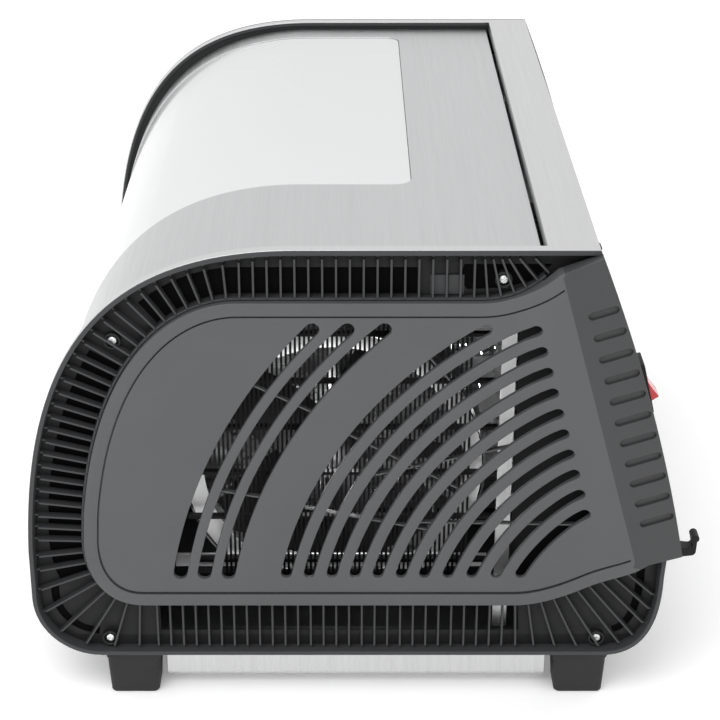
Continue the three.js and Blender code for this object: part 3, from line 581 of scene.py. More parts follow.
# ---------------------------------------------------------------- materials
class Finish:
    """A material whose colour, roughness and bump vary by noise."""

    def __init__(self, name, base, roughness, metallic=0.0, **more):
        self.material = bpy.data.materials.new(name)
        self.material.use_nodes = True
        self.nodes = self.material.node_tree.nodes
        self.join = self.material.node_tree.links.new
        self.inputs = self.nodes["Principled BSDF"].inputs
        self.inputs["Base Color"].default_value = (*base, 1)
        self.inputs["Roughness"].default_value = roughness
        self.inputs["Metallic"].default_value = metallic
        for key, value in more.items():
            self.inputs[key.replace("_", " ")].default_value = value

    def node(self, kind, **values):
        made = self.nodes.new("ShaderNode" + kind)
        for key, value in values.items():
            made.inputs[key.replace("_", " ")].default_value = value
        return made

    def noise(self, scale, stretch=(1, 1, 1), detail=3.0, rough=0.5):
        """Noise over the object's own metres, stretched along its axes."""
        mapping = self.node("Mapping", Scale=stretch)
        texture = self.node("TexNoise", Scale=scale, Detail=detail, Roughness=rough)
        self.join(self.node("TexCoord").outputs["Object"], mapping.inputs["Vector"])
        self.join(mapping.outputs["Vector"], texture.inputs["Vector"])
        return texture.outputs["Fac"]

    def spread(self, source, low, high, start=0.3, end=0.7):
        """A source's middle range, stretched from low to high."""
        ranger = self.node("MapRange", From_Min=start, From_Max=end, To_Min=low, To_Max=high)
        self.join(source, ranger.inputs["Value"])
        return ranger.outputs["Result"]

    def tint(self, source, dark, light):
        """Varies the base colour between two colours by a source."""
        mix = self.node("Mix")
        mix.data_type = "RGBA"
        mix.inputs["A"].default_value = (*dark, 1)
        mix.inputs["B"].default_value = (*light, 1)
        self.join(source, mix.inputs["Factor"])
        self.join(mix.outputs["Result"], self.inputs["Base Color"])

    def gloss(self, source, low, high):
        """Varies the roughness by a source."""
        self.join(self.spread(source, low, high), self.inputs["Roughness"])

    def bumps(self, *layers):
        """Chains bump nodes: each layer is (source, strength, distance in metres)."""
        last = None
        for source, strength, distance in layers:
            bump = self.node("Bump", Strength=strength, Distance=distance)
            self.join(source, bump.inputs["Height"])
            if last:
                self.join(last, bump.inputs["Normal"])
            last = bump.outputs["Normal"]
        self.join(last, self.inputs["Normal"])
        return self.material


def scaled(colour, k):
    return tuple(c * k for c in colour)


def moulded(name, colour, roughness, grain=0.25, coat=0.0, gloss=0.45):
    """Spark-textured plastic: fine grain, slow tone changes and faint handling marks."""
    finish = Finish(name, colour, roughness, Specular_IOR_Level=gloss, Coat_Weight=coat)
    broad = finish.noise(14, detail=2)
    marks = finish.noise(90, (1, 0.35, 1), detail=6, rough=0.7)
    finish.tint(broad, scaled(colour, 0.9), scaled(colour, 1.1))
    finish.gloss(marks, roughness - 0.07, roughness + 0.08)
    return finish.bumps((broad, 0.05, 0.002), (finish.noise(1400, detail=2), grain, 0.00012))


def brushed(name, colour, roughness, stretch, lines, tone):
    """Brushed sheet: long fine lines in tone, roughness and bump."""
    finish = Finish(name, colour, roughness, 1.0)
    fine = finish.noise(1500, stretch, detail=2, rough=0.6)
    finish.tint(finish.noise(260, stretch), scaled(colour, 1 - tone), scaled(colour, 1 + tone))
    finish.gloss(fine, roughness - 0.06, roughness + 0.09)
    return finish.bumps((fine, lines, 0.00006))


def polished(name, colour, roughness):
    finish = Finish(name, colour, roughness, 1.0)
    finish.gloss(finish.noise(60, detail=5, rough=0.65), roughness * 0.6, roughness * 1.6)
    return finish.bumps((finish.noise(500, detail=2), 0.05, 0.00005))


def pane_material():
    """Milky window sheet with a slow haze and a clear skin."""
    colour = (0.56, 0.565, 0.57)
    coat = {"Coat_Weight": 0.5, "Coat_Roughness": 0.05}
    finish = Finish("milky_pane", colour, 0.22, Specular_IOR_Level=0.5, **coat)
    haze = finish.noise(9)
    finish.tint(haze, scaled(colour, 0.985), scaled(colour, 1.01))
    finish.gloss(haze, 0.18, 0.28)
    return finish.bumps((finish.noise(40, detail=1), 0.03, 0.001))


def board_material():
    """Green board with lighter patches where the copper shows through."""
    finish = Finish("circuit_board", (0.02, 0.12, 0.05), 0.45)
    tracks = finish.noise(300, detail=0)
    finish.tint(finish.spread(tracks, 0, 1, 0.48, 0.52), (0.01, 0.09, 0.035), (0.03, 0.2, 0.08))
    return finish.bumps((tracks, 0.2, 0.0001))


ALONG_X = (0.01, 1, 1)
ALONG_Y = (1, 0.01, 1)
GREY = (0.070, 0.0715, 0.074)
SATIN = (0.62, 0.622, 0.625)
M = {
    "plastic": moulded("frame_plastic", (0.042, 0.043, 0.045), 0.42, gloss=0.3),
    # recess: the frame plastic made darker, as painted shade on the frame floor between the ribs and on the
    # bay panel behind the slots
    "recess": moulded("recess_painted_shade_plastic", (0.016, 0.0163, 0.017), 0.5, gloss=0.2),
    "cover": moulded("cover_plastic", GREY, 0.46),
    # grip: the cover plastic darker, with a finer grain; the grain is the grip's own, the darkening is
    # partly painted shade of its slope away from the light
    "grip": moulded("grip_plastic_painted_shade", scaled(GREY, 0.64), 0.42, 0.6, gloss=0.35),
    "black": moulded("black_plastic", (0.008, 0.008, 0.009), 0.45, gloss=0.2),
    # near-black with almost no specular: painted shade for the plates behind the frame floor's windows
    "shade_black": moulded("painted_shade_black", (0.003, 0.003, 0.003), 0.6, gloss=0.04),
    "steel": brushed("brushed_steel", (0.55, 0.555, 0.56), 0.34, ALONG_X, 0.3, 0.05),
    "sheet": brushed("satin_sheet", SATIN, 0.36, ALONG_X, 0.12, 0.03),
    "pan": brushed("brushed_pan", SATIN, 0.3, (1, 1, 0.01), 0.5, 0.1),
    "inner": brushed("inner_steel", (0.5, 0.505, 0.51), 0.3, ALONG_Y, 0.2, 0.05),
    "zinc": brushed("zinc_sheet", (0.93, 0.932, 0.935), 0.5, (1, 1, 0.02), 0.2, 0.05),
    "chrome": polished("chrome_wire", (0.86, 0.865, 0.87), 0.12),
    "window": pane_material(),
    "rubber": moulded("foot_rubber", (0.020, 0.020, 0.021), 0.6, 0.5, gloss=0.3),
    "gasket": moulded("seal_silicone", (0.2, 0.205, 0.21), 0.6, 0.2),
    "red": moulded("red_rocker", (0.60, 0.022, 0.03), 0.22, 0.05, 0.4),
    "screw": polished("screw_steel", (0.82, 0.825, 0.83), 0.42),
    "board": board_material(),
    "display": moulded("display_lens", (0.008, 0.01, 0.012), 0.1, 0.02, 0.5),
}
SLOT_OF = dict.fromkeys(("sheet", "pan", "inner", "zinc"), "steel")
SLOT_OF |= {"grip": "cover", "recess": "plastic", "shade_black": "black"}


def put(name, data, place=(0, 0, 0)):
    made = bpy.data.objects.new(name, data)
    made.location = place
    bpy.context.scene.collection.objects.link(made)
    return made


def piece(name, shape, finish, nodes, body="root", bevel=0.0, segments=2, smooth=40, zone=None):
    """Makes an object from a shape, which stands for CAD nodes and moves with a body.

    zone is (finish, test): faces whose middle passes the test get that finish instead.
    """
    mesh = bpy.data.meshes.new(name)
    mesh.from_pydata([v * MM for v in shape.verts], [], shape.faces)
    mesh.materials.append(M[finish])
    if zone:
        mesh.materials.append(M[zone[0]])
        for face in mesh.polygons:
            if zone[1](face.center / MM):
                face.material_index = 1
    mesh.validate()
    mesh.shade_smooth()
    mesh.set_sharp_from_angle(angle=math.radians(smooth))
    made = put(name, mesh)
    if bevel:
        rounder = made.modifiers.new("round_edges", "BEVEL")
        rounder.width = bevel * MM
        rounder.segments = segments
        rounder.limit_method = "ANGLE"
        rounder.angle_limit = math.radians(38)
        rounder.harden_normals = True
    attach(made, body)
    if isinstance(nodes, str):
        nodes = [nodes]
    if nodes:
        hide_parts(*nodes)
    return made


def pair(stem, shape, finish, **more):
    """A piece on the machine end and its mirror image on the other end."""
    piece(f"{stem}_right_look", shape, finish, f"{stem}_right", **more)
    piece(f"{stem}_left_look", shape.mirrored(), finish, f"{stem}_left", **more)


def loose_pair(stem, shape, finish, **more):
    """A pair that belongs to pieces already replaced."""
    piece(f"{stem}_right", shape, finish, [], **more)
    piece(f"{stem}_left", shape.mirrored(), finish, [], **more)


# ---------------------------------------------------------------- end covers
def slot_outlines():
    """The curved openings, all about one centre: three wide ones, then eleven narrow ones."""
    loops = []
    for group in (WIDE_SLOTS, NARROW_SLOTS):
        for i in range(group["count"]):
            radius = group["radius"] - group["pitch"] * i
            slanted = group is NARROW_SLOTS and i > 0
            head = slanted_head(radius) if slanted else level_angle(radius, SLOT_HEAD_Z)
            loops.append(arc_slot(radius, head, group["width"]))
    return loops


# faces behind the crease get the darker grip finish, which is partly painted shade
def behind_crease(point):
    return point.y > crease_y(point.z) + 0.3


def level_angle(radius, z):
    return math.pi - math.asin((z - SLOT_CENTRE.y) / radius)


def slanted_head(radius):
    """Where a slot meets the line beside the grip on which the narrow slots end."""
    angle = math.radians(111)
    line_y, lean = 116.7, 0.279
    while True:
        spot = on_circle(SLOT_CENTRE, radius, angle)
        if spot.x <= line_y + (SLOT_HEAD_Z - spot.y) * lean:
            return angle
        angle += 0.001


def arc_slot(radius, head, width):
    foot = level_angle(radius, SLOT_FOOT_Z)
    steps = 26
    cap = 7
    outer = circle(SLOT_CENTRE, radius + width / 2, steps, head, foot - head)
    inner = circle(SLOT_CENTRE, radius - width / 2, steps, head, foot - head)[::-1]
    foot_cap = circle(on_circle(SLOT_CENTRE, radius, foot), width / 2, cap, foot, math.pi)[1:-1]
    head_spot = on_circle(SLOT_CENTRE, radius, head)
    head_cap = circle(head_spot, width / 2, cap, head + math.pi, math.pi)[1:-1]
    return outer + foot_cap + inner + head_cap


def rear_edge_y(z):
    """The grip's rear edge at a height."""
    low, middle, high = GRIP_EDGE
    t = (z - low.y) / (high.y - low.y)
    return (1 - t) ** 2 * low.x + 2 * t * (1 - t) * middle.x + t * t * high.x


def swell(point):
    """Height of the cover's face above its flat plate."""
    ahead = crease_y(point.y) - point.x
    if ahead >= RAMP_RUN:
        return 0.0
    if ahead >= 0:
        share = 1 - ahead / RAMP_RUN
        top = 1 - math.cos(math.pi * RAMP_END)
        return RISE * (1 - math.cos(math.pi * share * RAMP_END)) / top
    width = max(rear_edge_y(point.y) - crease_y(point.y), 1)
    return RISE + (FALL - RISE) * min(-ahead / width, 1)


def finger_grooves():
    """Pockets that run from beside the crease to the grip's rear edge."""
    made = []
    tilt = GROOVES["tilt"]
    behind = 12  # from the crease to a groove's front end
    for i in range(GROOVES["count"]):
        z = GROOVES["first_z"] - GROOVES["pitch"] * i
        start = at(crease_y(z) + behind, z + behind * tilt * 0.3)
        reach = rear_edge_y(z + 6) - start.x - 4.3
        end = start + at(reach, reach * tilt)
        made.append((oval(start, end, GROOVES["width"]), GROOVES["depth"]))
    return made


def band_line():
    """The narrow groove between the plate and its raised border, wider along the bottom."""
    border = 9
    near = ahead_run(even(offset(COVER, -border), 3), 1.2)
    far = []
    for p, way in zip(near, outward(near, False)):
        low = max(0.0, min(1.0, (125 - p.y) / 40))
        far.append(p - way * (1.1 + low))
    return near + far[::-1]


def cover_points():
    """Points spread over the swelling, in lines beside the crease."""
    points = []
    lowest, rows, row_pitch = 92, 64, 3.8
    for i in range(rows):
        z = lowest + row_pitch * i
        ahead = [RAMP_RUN * j / 14.6 - RAMP_RUN * 1.02 for j in range(15)]
        behind = [3.6 * j for j in range(1, 9)]
        points += [at(crease_y(z) + y, z) for y in ahead + behind]
    return points


def end_cover():
    """The slotted plate with its swollen, grooved grip, and the skirt behind its edge."""
    border = even(COVER, 3)
    crease = [at(crease_y(z), z) for z in range(116, 325, 3)]
    pockets = finger_grooves() + [(band_line(), 2.3)]
    extras = (pockets, cover_points(), [crease])
    shape = relief(Shape(), COVER_FACE, COVER_BACK, swell, border, slot_outlines(), *extras)
    skirt = ahead_run(even(COVER, 4), 12)
    sweep(shape, skirt, soft_rect(FRAME_BACK + 0.1, COVER_BACK + 0.02, 0.05, WALL, 0.2), False)
    links = (  # thin bars across the backs of the slots, each from one point to another
        ((-65, 242), (-28, 223)),
        ((-89, 164), (-62, 159)),
        ((-33, 151), (50, 134)),
        ((-3, 206), (69, 166)),
        ((49, 262), (62, 246)),
        ((36, 140), (150, 138)),
        ((14, 176), (106, 198)),
    )
    for a, b in links:
        a, b = Vector(a), Vector(b)
        side = at(a.y - b.y, b.x - a.x).normalized() * 0.5
        prism(shape, [a + side, a - side, b - side, b + side], COVER_BACK - 3, COVER_BACK + 0.5)
    return shape


# ---------------------------------------------------------------- end frames
def band(ring, keep, outer, inner):
    """The outline of a band between two offsets of a stretch of a ring."""
    run = from_gap([p for p in ring if keep(p)])
    return offset(run, outer, False) + offset(run, inner, False)[::-1]


def frame_rib(shape, foot, near):
    """One upright rib from the rim's wall to the ring round the cover, with a notch at the rim."""
    along = (near - foot).normalized()
    side = at(-along.y, along.x) * RIB_THICK / 2
    length = (near - foot).length
    low = FLOOR_X - 0.3
    notch = RIB_TOP - 2.6
    steps = ((0, low), (0, notch), (2.2, notch), (2.9, RIB_TOP), (length, RIB_TOP), (length, low))
    verts = []
    for way in (side, -side):
        for s, x in steps:
            p = foot + along * s + way
            verts.append((x, p.x, p.y))
    shape.add(verts, rows_to_faces(2, len(steps), False))


def wall_ahead(start, way, wall):
    """Where a ray first meets a closed outline, or None."""
    far = start + way * 400
    hits = [intersect_line_line_2d(start, far, a, b) for a, b in zip(wall, wall[1:] + wall[:1])]
    return min([hit for hit in hits if hit], key=lambda hit: (hit - start).length, default=None)


def frame_ribs(shape):
    """Ribs evenly spaced along the ring round the cover, fanning out at the corners."""
    rim = offset(BODY, -INSET - WALL + 0.2)
    ring = even(offset(COVER, 1.4), 0.4)
    ways = outward(ring)
    walked = 0.0
    for i, near in enumerate(ring):
        walked += (near - ring[i - 1]).length
        if walked < RIB_PITCH:
            continue
        walked = 0.0
        if near.x > crease_y(near.y) - 3:
            continue
        lean = max(0.0, near.x - 120) / 70 if near.y < 130 else 0.0
        way = (ways[i] + at(0.5 * lean, 0)).normalized()
        foot = wall_ahead(near, way, rim)
        if foot:
            frame_rib(shape, foot, near)


def screw_boss(shape, spot):
    """A round seat with a chamfered wall about it."""
    seat, radius, well, top = 270.4, 5.6, 4.2, 273.8
    profile = [(0, seat), (well, seat), (well, top - 0.5), (well + 0.4, top), (radius - 0.4, top)]
    profile += [(radius, top - 0.4), (radius, FRAME_BACK + 0.5), (0, FRAME_BACK + 0.5)]
    lathe(shape, profile, spot.x, spot.y, 28)


def end_frame():
    """The rim with its ribs, the floor behind them, and near-black plates behind the floor's windows, which
    paint the shade inside.
    """
    step = SHELL_HALF + 0.3  # where the rim drops to pass under the shell
    deep = INSET + WALL
    rim = [(FRAME_BACK, INSET), (step, INSET), (step, 0.25), (step + 0.25, 0), (RIM_FACE - 0.6, 0)]
    rim += [(RIM_FACE - 0.2, 0.2), (RIM_FACE, 0.6), (RIM_FACE, deep - 1.2), (RIM_FACE - 0.2, deep - 0.9)]
    rim += [(RIM_FACE - 0.6, deep - 0.8), (FLOOR_X, deep), (FRAME_BACK, deep)]
    shape = sweep(Shape(), even(BODY, 12), rim)

    around = even(COVER, 5)
    over = band(around, lambda p: p.y > 226 and -128 < p.x < 44, 21, 2.6)
    front = band(around, lambda p: p.x < -140 and 98 < p.y < 252, 25, 2.6)
    under = band(around, lambda p: p.y < 80 and -138 < p.x < 115, 26, 2.6)
    behind_grip = ahead_run(even(offset(COVER, 0.4), 4), 9)
    pocket = [Vector(p) for p in ((72, 307.5), (96, 308.5), (113, 313), (126, 325), (70, 325), (67, 316))]
    holes = [over, front, under, behind_grip, pocket]
    holes.append(band(even(BODY, 3), lambda p: p.x > 183 and p.y < 100, -12, -17.5))
    holes.append(band(even(BODY, 3), lambda p: p.x < -178 and p.y < 92, -12, -17.5))
    floor = plate(Shape(), even(offset(BODY, -deep + 0.5), 8), holes, FRAME_BACK, FLOOR_X, 0.2)
    # near-black plates behind the windows: painted shade in place of the dim inside
    shade_plates = Shape()
    for i in (0, 1, 4, 5, 6):
        prism(shade_plates, offset(holes[i], 0.3), FRAME_BACK + 0.05, FRAME_BACK + 0.6)
    for y0, y1 in ((48.5, 58), (60, 70)):
        box(shape, FLOOR_X - 0.1, FLOOR_X + 1.2, y0, y1, 304.6, 318)
    ring = ahead_run(even(offset(COVER, 2), 4), 9)
    sweep(shape, ring, soft_rect(FLOOR_X - 0.4, RIB_TOP, 0, 1.6, 0.25), False)
    frame_ribs(shape)
    for spot in SCREWS:
        screw_boss(floor, spot)
    return shape, floor, shade_plates


def cover_screw(spot):
    """A domed head with a cross recess, on a short shank."""
    shape = Shape()
    seat, radius, high = 270.75, 3.0, 1.9
    arm, half = 1.75, 0.42
    cross = [(arm, -half), (arm, half), (half, half), (half, arm), (-half, arm), (-half, half)]
    cross += [(-arm, half), (-arm, -half), (-half, -half), (-half, -arm), (half, -arm), (half, -half)]
    ring = [spot + Vector(p) for p in cross]
    dome = lambda p: 0.75 * (1 - ((p - spot).length / radius) ** 2)
    inner = [p for r in (0.8, 1.5, 2.0, 2.4) for p in circle(spot, r, 16)]
    relief(shape, seat + high, seat, dome, circle(spot, radius, 28), [], [(ring, 1.1)], inner)
    foot, head = FRAME_BACK + 0.4, seat + 0.2
    lathe(shape, [(0, foot), (1.5, foot), (1.5, head), (0, head)], *spot, 12)
    return shape


def vent_grille():
    """Fine upright bars on cross bars."""
    shape = Shape()
    low, high = span("vent_grille_right")
    x0, x1 = low.x, high.x
    bars_start, bars_end, bar_pitch = -113, 79, 3.05
    y = bars_start + 1
    while y < bars_end:
        foot = low.z + 3 if y > -90 else 175
        box(shape, x1 - 2.2, x1, y - 0.75, y + 0.75, foot, high.z - 4)
        y += bar_pitch
    for i in range(6):
        z = 98 + 34.3 * i
        box(shape, x0, x1 - 1, bars_start, 96, z - 1.1, z + 1.1)
    for z in (low.z + 1.5, high.z - 4.5):
        box(shape, x0, x1 - 0.4, bars_start, bars_end, z, z + 3)
    return shape


def build_ends():
    frame_body, frame_floor, frame_shade_plates = end_frame()
    pair("side_frame", frame_body, "plastic", smooth=30)
    # the frame floor takes the darker copy of the frame plastic: painted shade between the ribs
    loose_pair("frame_floor", frame_floor, "recess", smooth=30)
    # the near-black plates paint the shade seen through the floor's windows
    loose_pair("frame_shade_plates", frame_shade_plates, "shade_black")
    # the grip zone's darker plastic is partly its own finish and partly painted shade
    pair("vent_cover", end_cover(), "cover", smooth=28, zone=("grip", behind_crease))
    pair("vent_grille", vent_grille(), "black")
    for i, spot in enumerate(SCREWS):
        pair(f"cover_screw_{i + 1}", cover_screw(spot), "screw")
    build_bay_trim()


def build_bay_trim():
    """A bright strip and sill, and a plain panel in darker plastic that paints the shade behind the slots.
    """
    low, high = span("vent_grille_right")
    strip = Shape()
    box(strip, low.x + 1, low.x + 3, 97, 107, 43, high.z)
    box(strip, low.x - 6, low.x - 4, -124, 92, 88, 98)
    loose_pair("bay_strip", strip, "zinc", bevel=0.3)
    panel = Shape()
    edge = ((108, low.z), (190, low.z), (190, 150), (165, high.z), (108, high.z))
    prism(panel, edge, low.x, low.x + 2.5)
    # the panel's darker plastic is painted shade inside the bay
    loose_pair("bay_panel", panel, "recess", bevel=0.4)


# ---------------------------------------------------------------- shell, base and feet
def level_cut(a, b, z):
    return a.lerp(b, (z - a.y) / (b.y - a.y))


def open_run(points, z):
    """The stretch of the body's outline above a level, from the rear over the top to the front."""
    run = []
    ring = points[1:] + points[:1]
    for a, b in zip(points, ring):
        if a.y < z <= b.y:
            run.append(level_cut(a, b, z))
        if a.y >= z:
            run.append(a)
        if a.y >= z > b.y:
            run.append(level_cut(a, b, z))
    return run


def build_shell():
    """A bent sheet, open between its two arches where the door lies."""
    path = open_run(BODY, SHELL_FOOT)
    columns = [-SHELL_HALF, -ARCH_HALF, ARCH_HALF, SHELL_HALF]
    upper = [Vector((x, p.x, p.y)) for p in path for x in columns]
    lower = [Vector((x, p.x, p.y)) for p in offset(path, -SHEET, False) for x in columns]
    faces = []
    for i in range(len(path) - 1):
        open_here = path[i].x <= SLOT_Y + 0.01 and path[i].y > 200 or path[i].x < 0
        for j in range(3):
            if j == 1 and open_here:
                continue
            a = 4 * i + j
            faces.append([a, a + 1, a + 5, a + 4])
    shape = thicken(Shape(), faces, upper, lower)
    box(shape, -INNER_HALF, INNER_HALF, SLOT_Y + 0.05, SLOT_Y + SHEET, TOP - 9, TOP - 0.9)
    piece("outer_shell_look", shape, "sheet", "outer_shell", bevel=0.35, smooth=30)


def rect_loop(x0, x1, s0, s1, radius=0.0):
    if radius:
        return round_rect(x0, x1, s0, s1, radius, 7)
    return [Vector(p) for p in ((x0, s0), (x1, s0), (x1, s1), (x0, s1))]


def build_base():
    """The tub round the underside, the folded pan below it, and the feet."""
    ring = even(offset(BODY, -INSET), 6)
    track = Track(from_gap([p for p in ring if p.x > -169 and p.y < SHELL_FOOT - 0.4]))
    outer = rect_loop(-INNER_HALF, INNER_HALF, 0.2, track.at[-1] - 0.2)
    shape = bent_sheet(Shape(), track, outer, [], 0, 2)
    piece("base_tub_look", shape, "plastic", "base_tub", bevel=0.4)

    low, high = span("base_pan")
    shape = Shape()
    bend = 7
    outer = [at(low.x, high.z)]
    outer += circle((low.x + bend, low.z + bend), bend, 9, math.pi, math.pi / 2)
    outer += circle((high.x - bend, low.z + bend), bend, 9, 1.5 * math.pi, math.pi / 2)
    outer.append(at(high.x, high.z))
    walls = [(low.y, high.y, outer + offset(outer, -SHEET, False)[::-1])]
    for y in (low.y, high.y - SHEET):
        walls.append((y + 0.05, y + SHEET - 0.05, offset(outer, -SHEET / 2, False)))
    for y0, y1, profile in walls:
        verts = [(p.x, y, p.y) for y in (y0, y1) for p in profile]
        shape.add(verts, rows_to_faces(2, len(profile), False))
    piece("base_pan_look", shape, "pan", "base_pan", bevel=0.3)

    for side in ("right", "left"):
        for place in ("front", "rear"):
            node = f"foot_{place}_{side}"
            piece(f"{node}_look", rubber_foot(node), "rubber", node, bevel=0.5, smooth=30)


def rubber_foot(node):
    """A tapered block with rounded upright edges and a stepped collar."""
    low, high = span(node)
    x, y = (low.x + high.x) / 2, (low.y + high.y) / 2
    wide, deep, tall = high - low
    taper = 4
    levels = [(0, 1, 3.2), (1.2, 0, 4), (tall - 7, 0, 4), (tall - 6, -0.7, 4)]
    levels += [(tall - 0.5, -0.7, 4), (tall, -0.4, 4)]
    rings = []
    for z, shrink, radius in levels:
        narrow = taper * (1 - z / tall) / 2 + shrink + 0.7
        x1, y1 = wide / 2 - narrow, deep / 2 - narrow
        ring = round_rect(-x1, x1, -y1, y1, radius, 5)
        rings.append([(x + p.x, y + p.y, low.z + z) for p in ring])
    return Shape().add(sum(rings, []), rows_to_faces(len(rings), len(rings[0]), False))


def cord_hook():
    """A curved arm with a rounded upturned tip."""
    low, high = span("cord_hook_right")
    z = low.z
    root = REAR_LOW + 0.4
    tip = high.y
    arm = [at(root, z), at(tip - 5, z + 2.2)]
    curve(arm, (tip - 2.4, z + 2.6), (tip - 2, z + 5), count=5)
    arm.append(at(tip - 1.6, high.z - 5))
    arm += circle((tip - 3, high.z - 2.8), 2.8, 12, -0.9, 4.6)
    arm.append(at(tip - 4.4, z + 9.5))
    curve(arm, (tip - 4.6, z + 7.2), (tip - 7.5, z + 7.6), count=5)
    arm.append(at(tip - 15, z + 8.6))
    arm.append(at(root, z + 10))
    return prism(Shape(), arm, low.x, high.x)


# ---------------------------------------------------------------- rear switch and power inlet
def on_back(x, out, up):
    """A place on the slanted back: across, out from it, and up along it."""
    cos, sin = math.cos(BACK_LEAN), math.sin(BACK_LEAN)
    return Vector((x, BACK_POINT.x + out * cos - up * sin, BACK_POINT.y + out * sin + up * cos))


def back_plate(shape, x, half_x, half_up, radius, out0, out1, hole=None):
    """A plate with round corners on the slanted back, with an optional rounded hole."""
    outer = round_rect(-half_x, half_x, -half_up, half_up, radius, 5)
    holes = [round_rect(-hole[0], hole[0], -hole[1], hole[1], hole[2], 5)] if hole else []
    flat = plate(Shape(), outer, holes, out0, out1, 0.5)
    return shape.join(flat.moved(lambda v: on_back(x - v.y, v.x, v.z)))


def build_rear():
    """The switch and the power inlet on the slanted back."""
    x = (span("power_rocker")[0].x + span("power_rocker")[1].x) / 2
    frame_plate = back_plate(Shape(), x, 16, 25, 2.5, 1.4, 3.4, (9.7, 15.2, 1.5))
    piece("switch_plate_look", frame_plate, "steel", "switch_plate")
    bezel = back_plate(Shape(), x, 12, 18.5, 3, 3.75, 8.25, (7.7, 13.2, 1.2))
    back_plate(bezel, x, 9.4, 14.9, 1.2, -12.5, 3.8, (7.7, 13.2, 1.2))
    piece("switch_bezel_look", bezel, "black", "switch_bezel")

    points = [Vector(p) for p in ((-12.3, -2), (-5, -6), (5, -6), (12.3, -2), (12.0, 4.6))]
    curve(points, (6, 5.2), (0, 6.6), (-9.0, 11.4), count=8)
    points.append(at(-12.3, 3))
    rocker = prism(Shape(), points, -7.3, 7.3).moved(lambda v: on_back(x + v.x, v.z + 2.5, v.y))
    piece("power_rocker_look", rocker, "red", "power_rocker", "rocker", bevel=0.7, segments=3)

    low, high = span("power_inlet")
    x = (low.x + high.x) / 2
    inlet = back_plate(Shape(), x, 17, 13.5, 3, 0.5, 2.5, (11.5, 8, 2))
    back_plate(inlet, x, 13.7, 10.2, 2, -18, 0.6, (11.5, 8, 2))
    back_plate(inlet, x, 12, 8.4, 2, -14, -11)
    piece("power_inlet_look", inlet, "black", "power_inlet")
    pins = Shape()
    for dx in (-7, 0, 7):
        back_plate(pins, x + dx, 1, 2.5, 0.6, -12, -2)
    piece("inlet_pins", pins, "chrome", [])


# ---------------------------------------------------------------- front
def build_front():
    """The fascia bends with the body's front, and the drawer's face follows the same bend."""
    top = span("front_fascia")[1].z
    ring = even(offset(BODY, -INSET), 2)
    track = Track(from_gap([p for p in ring if p.x < -170.2 and p.y < top]))
    run_at = lambda z: track.where(lambda p: p.z <= z)
    framed = lambda low, high, gap: (low.x - gap, high.x + gap, run_at(high.z + gap), run_at(low.z - gap))
    low, high = span("drip_drawer")
    face_low, face_high = Vector((low.x, 0, DRAWER_FOOT)), Vector((high.x, 0, DRAWER_HEAD))
    lens = span("display_window")
    buttons = [span(f"button_{i + 1}") for i in range(4)]
    holes = [rect_loop(*framed(face_low, face_high, 0.8)), rect_loop(*framed(*lens, 0.3), 1.5)]
    for a, b in buttons:
        holes.append(circle(((a.x + b.x) / 2, run_at((a.z + b.z) / 2)), 4.9, 24))
    outer = rect_loop(-INNER_HALF, INNER_HALF, 0.1, track.at[-1] - 0.2)
    fascia = bent_sheet(Shape(), track, outer, holes, 0, 3)
    box(fascia, -INNER_HALF, INNER_HALF, -205, -202, 44, 72)
    piece("front_fascia_look", fascia, "plastic", "front_fascia", bevel=0.4)

    a, b = lens
    flat = plate(Shape(), round_rect(a.x, b.x, a.z, b.z, 1.4, 5), [], 0, 1.6, 0.3)
    flat = flat.moved(lambda v: Vector((v.y, b.y - v.x, v.z)))
    piece("display_window_look", flat, "display", "display_window")
    for i, (a, b) in enumerate(buttons):
        node = f"button_{i + 1}"
        piece(f"{node}_look", button_cap(a, b), "black", node, node)

    face = bent_sheet(Shape(), track, rect_loop(*framed(face_low, face_high, 0)), [], 0, 3)
    piece("drip_drawer_look", drawer_pan(face, low, high), "steel", "drip_drawer", "drawer", bevel=0.4)
    build_board()


def button_cap(low, high):
    """A round cap with a soft edge and a dished top."""
    radius = (high.x - low.x) / 2
    deep = high.y - low.y
    profile = [(0, 0), (radius, 0), (radius, deep - 0.9), (radius - 0.3, deep - 0.25), (radius - 1, deep)]
    profile += [(radius * 0.6, deep - 0.25), (radius * 0.3, deep - 0.42), (0, deep - 0.5)]
    x, z = (low.x + high.x) / 2, (low.z + high.z) / 2
    return lathe(Shape(), profile, 0, 0, 28).moved(lambda v: Vector((x + v.y, high.y - v.x, z + v.z)))


def drawer_pan(shape, low, high):
    """Adds the drawer's lipped pull and its pan to its face."""
    tip = low.y
    root, shelf = -216.6, DRAWER_HEAD - 3
    pull = [at(root, shelf), at(tip + 1.4, shelf)]
    curve(pull, (tip, shelf), (tip, shelf - 1.4), count=4)
    lip = ((tip, 100.9), (tip + 1.1, 100.4), (tip + 2.2, 100.9), (tip + 2.2, shelf - 3), (root, shelf - 3))
    pull += [Vector(p) for p in lip]
    prism(shape, pull, *DRAWER_PULL)
    x0, x1 = low.x + 6, high.x - 6
    front, floor, pan_head, thick = -215.6, DRAWER_FOOT + 3, 96, 1.6
    box(shape, x0, x1, front, high.y, floor, floor + thick)
    for a, b in ((x0, x0 + thick), (x1 - thick, x1)):
        box(shape, a, b, front, high.y, floor + 0.1, pan_head)
    return box(shape, x0 + 0.1, x1 - 0.1, high.y - thick, high.y, floor + 0.1, pan_head)


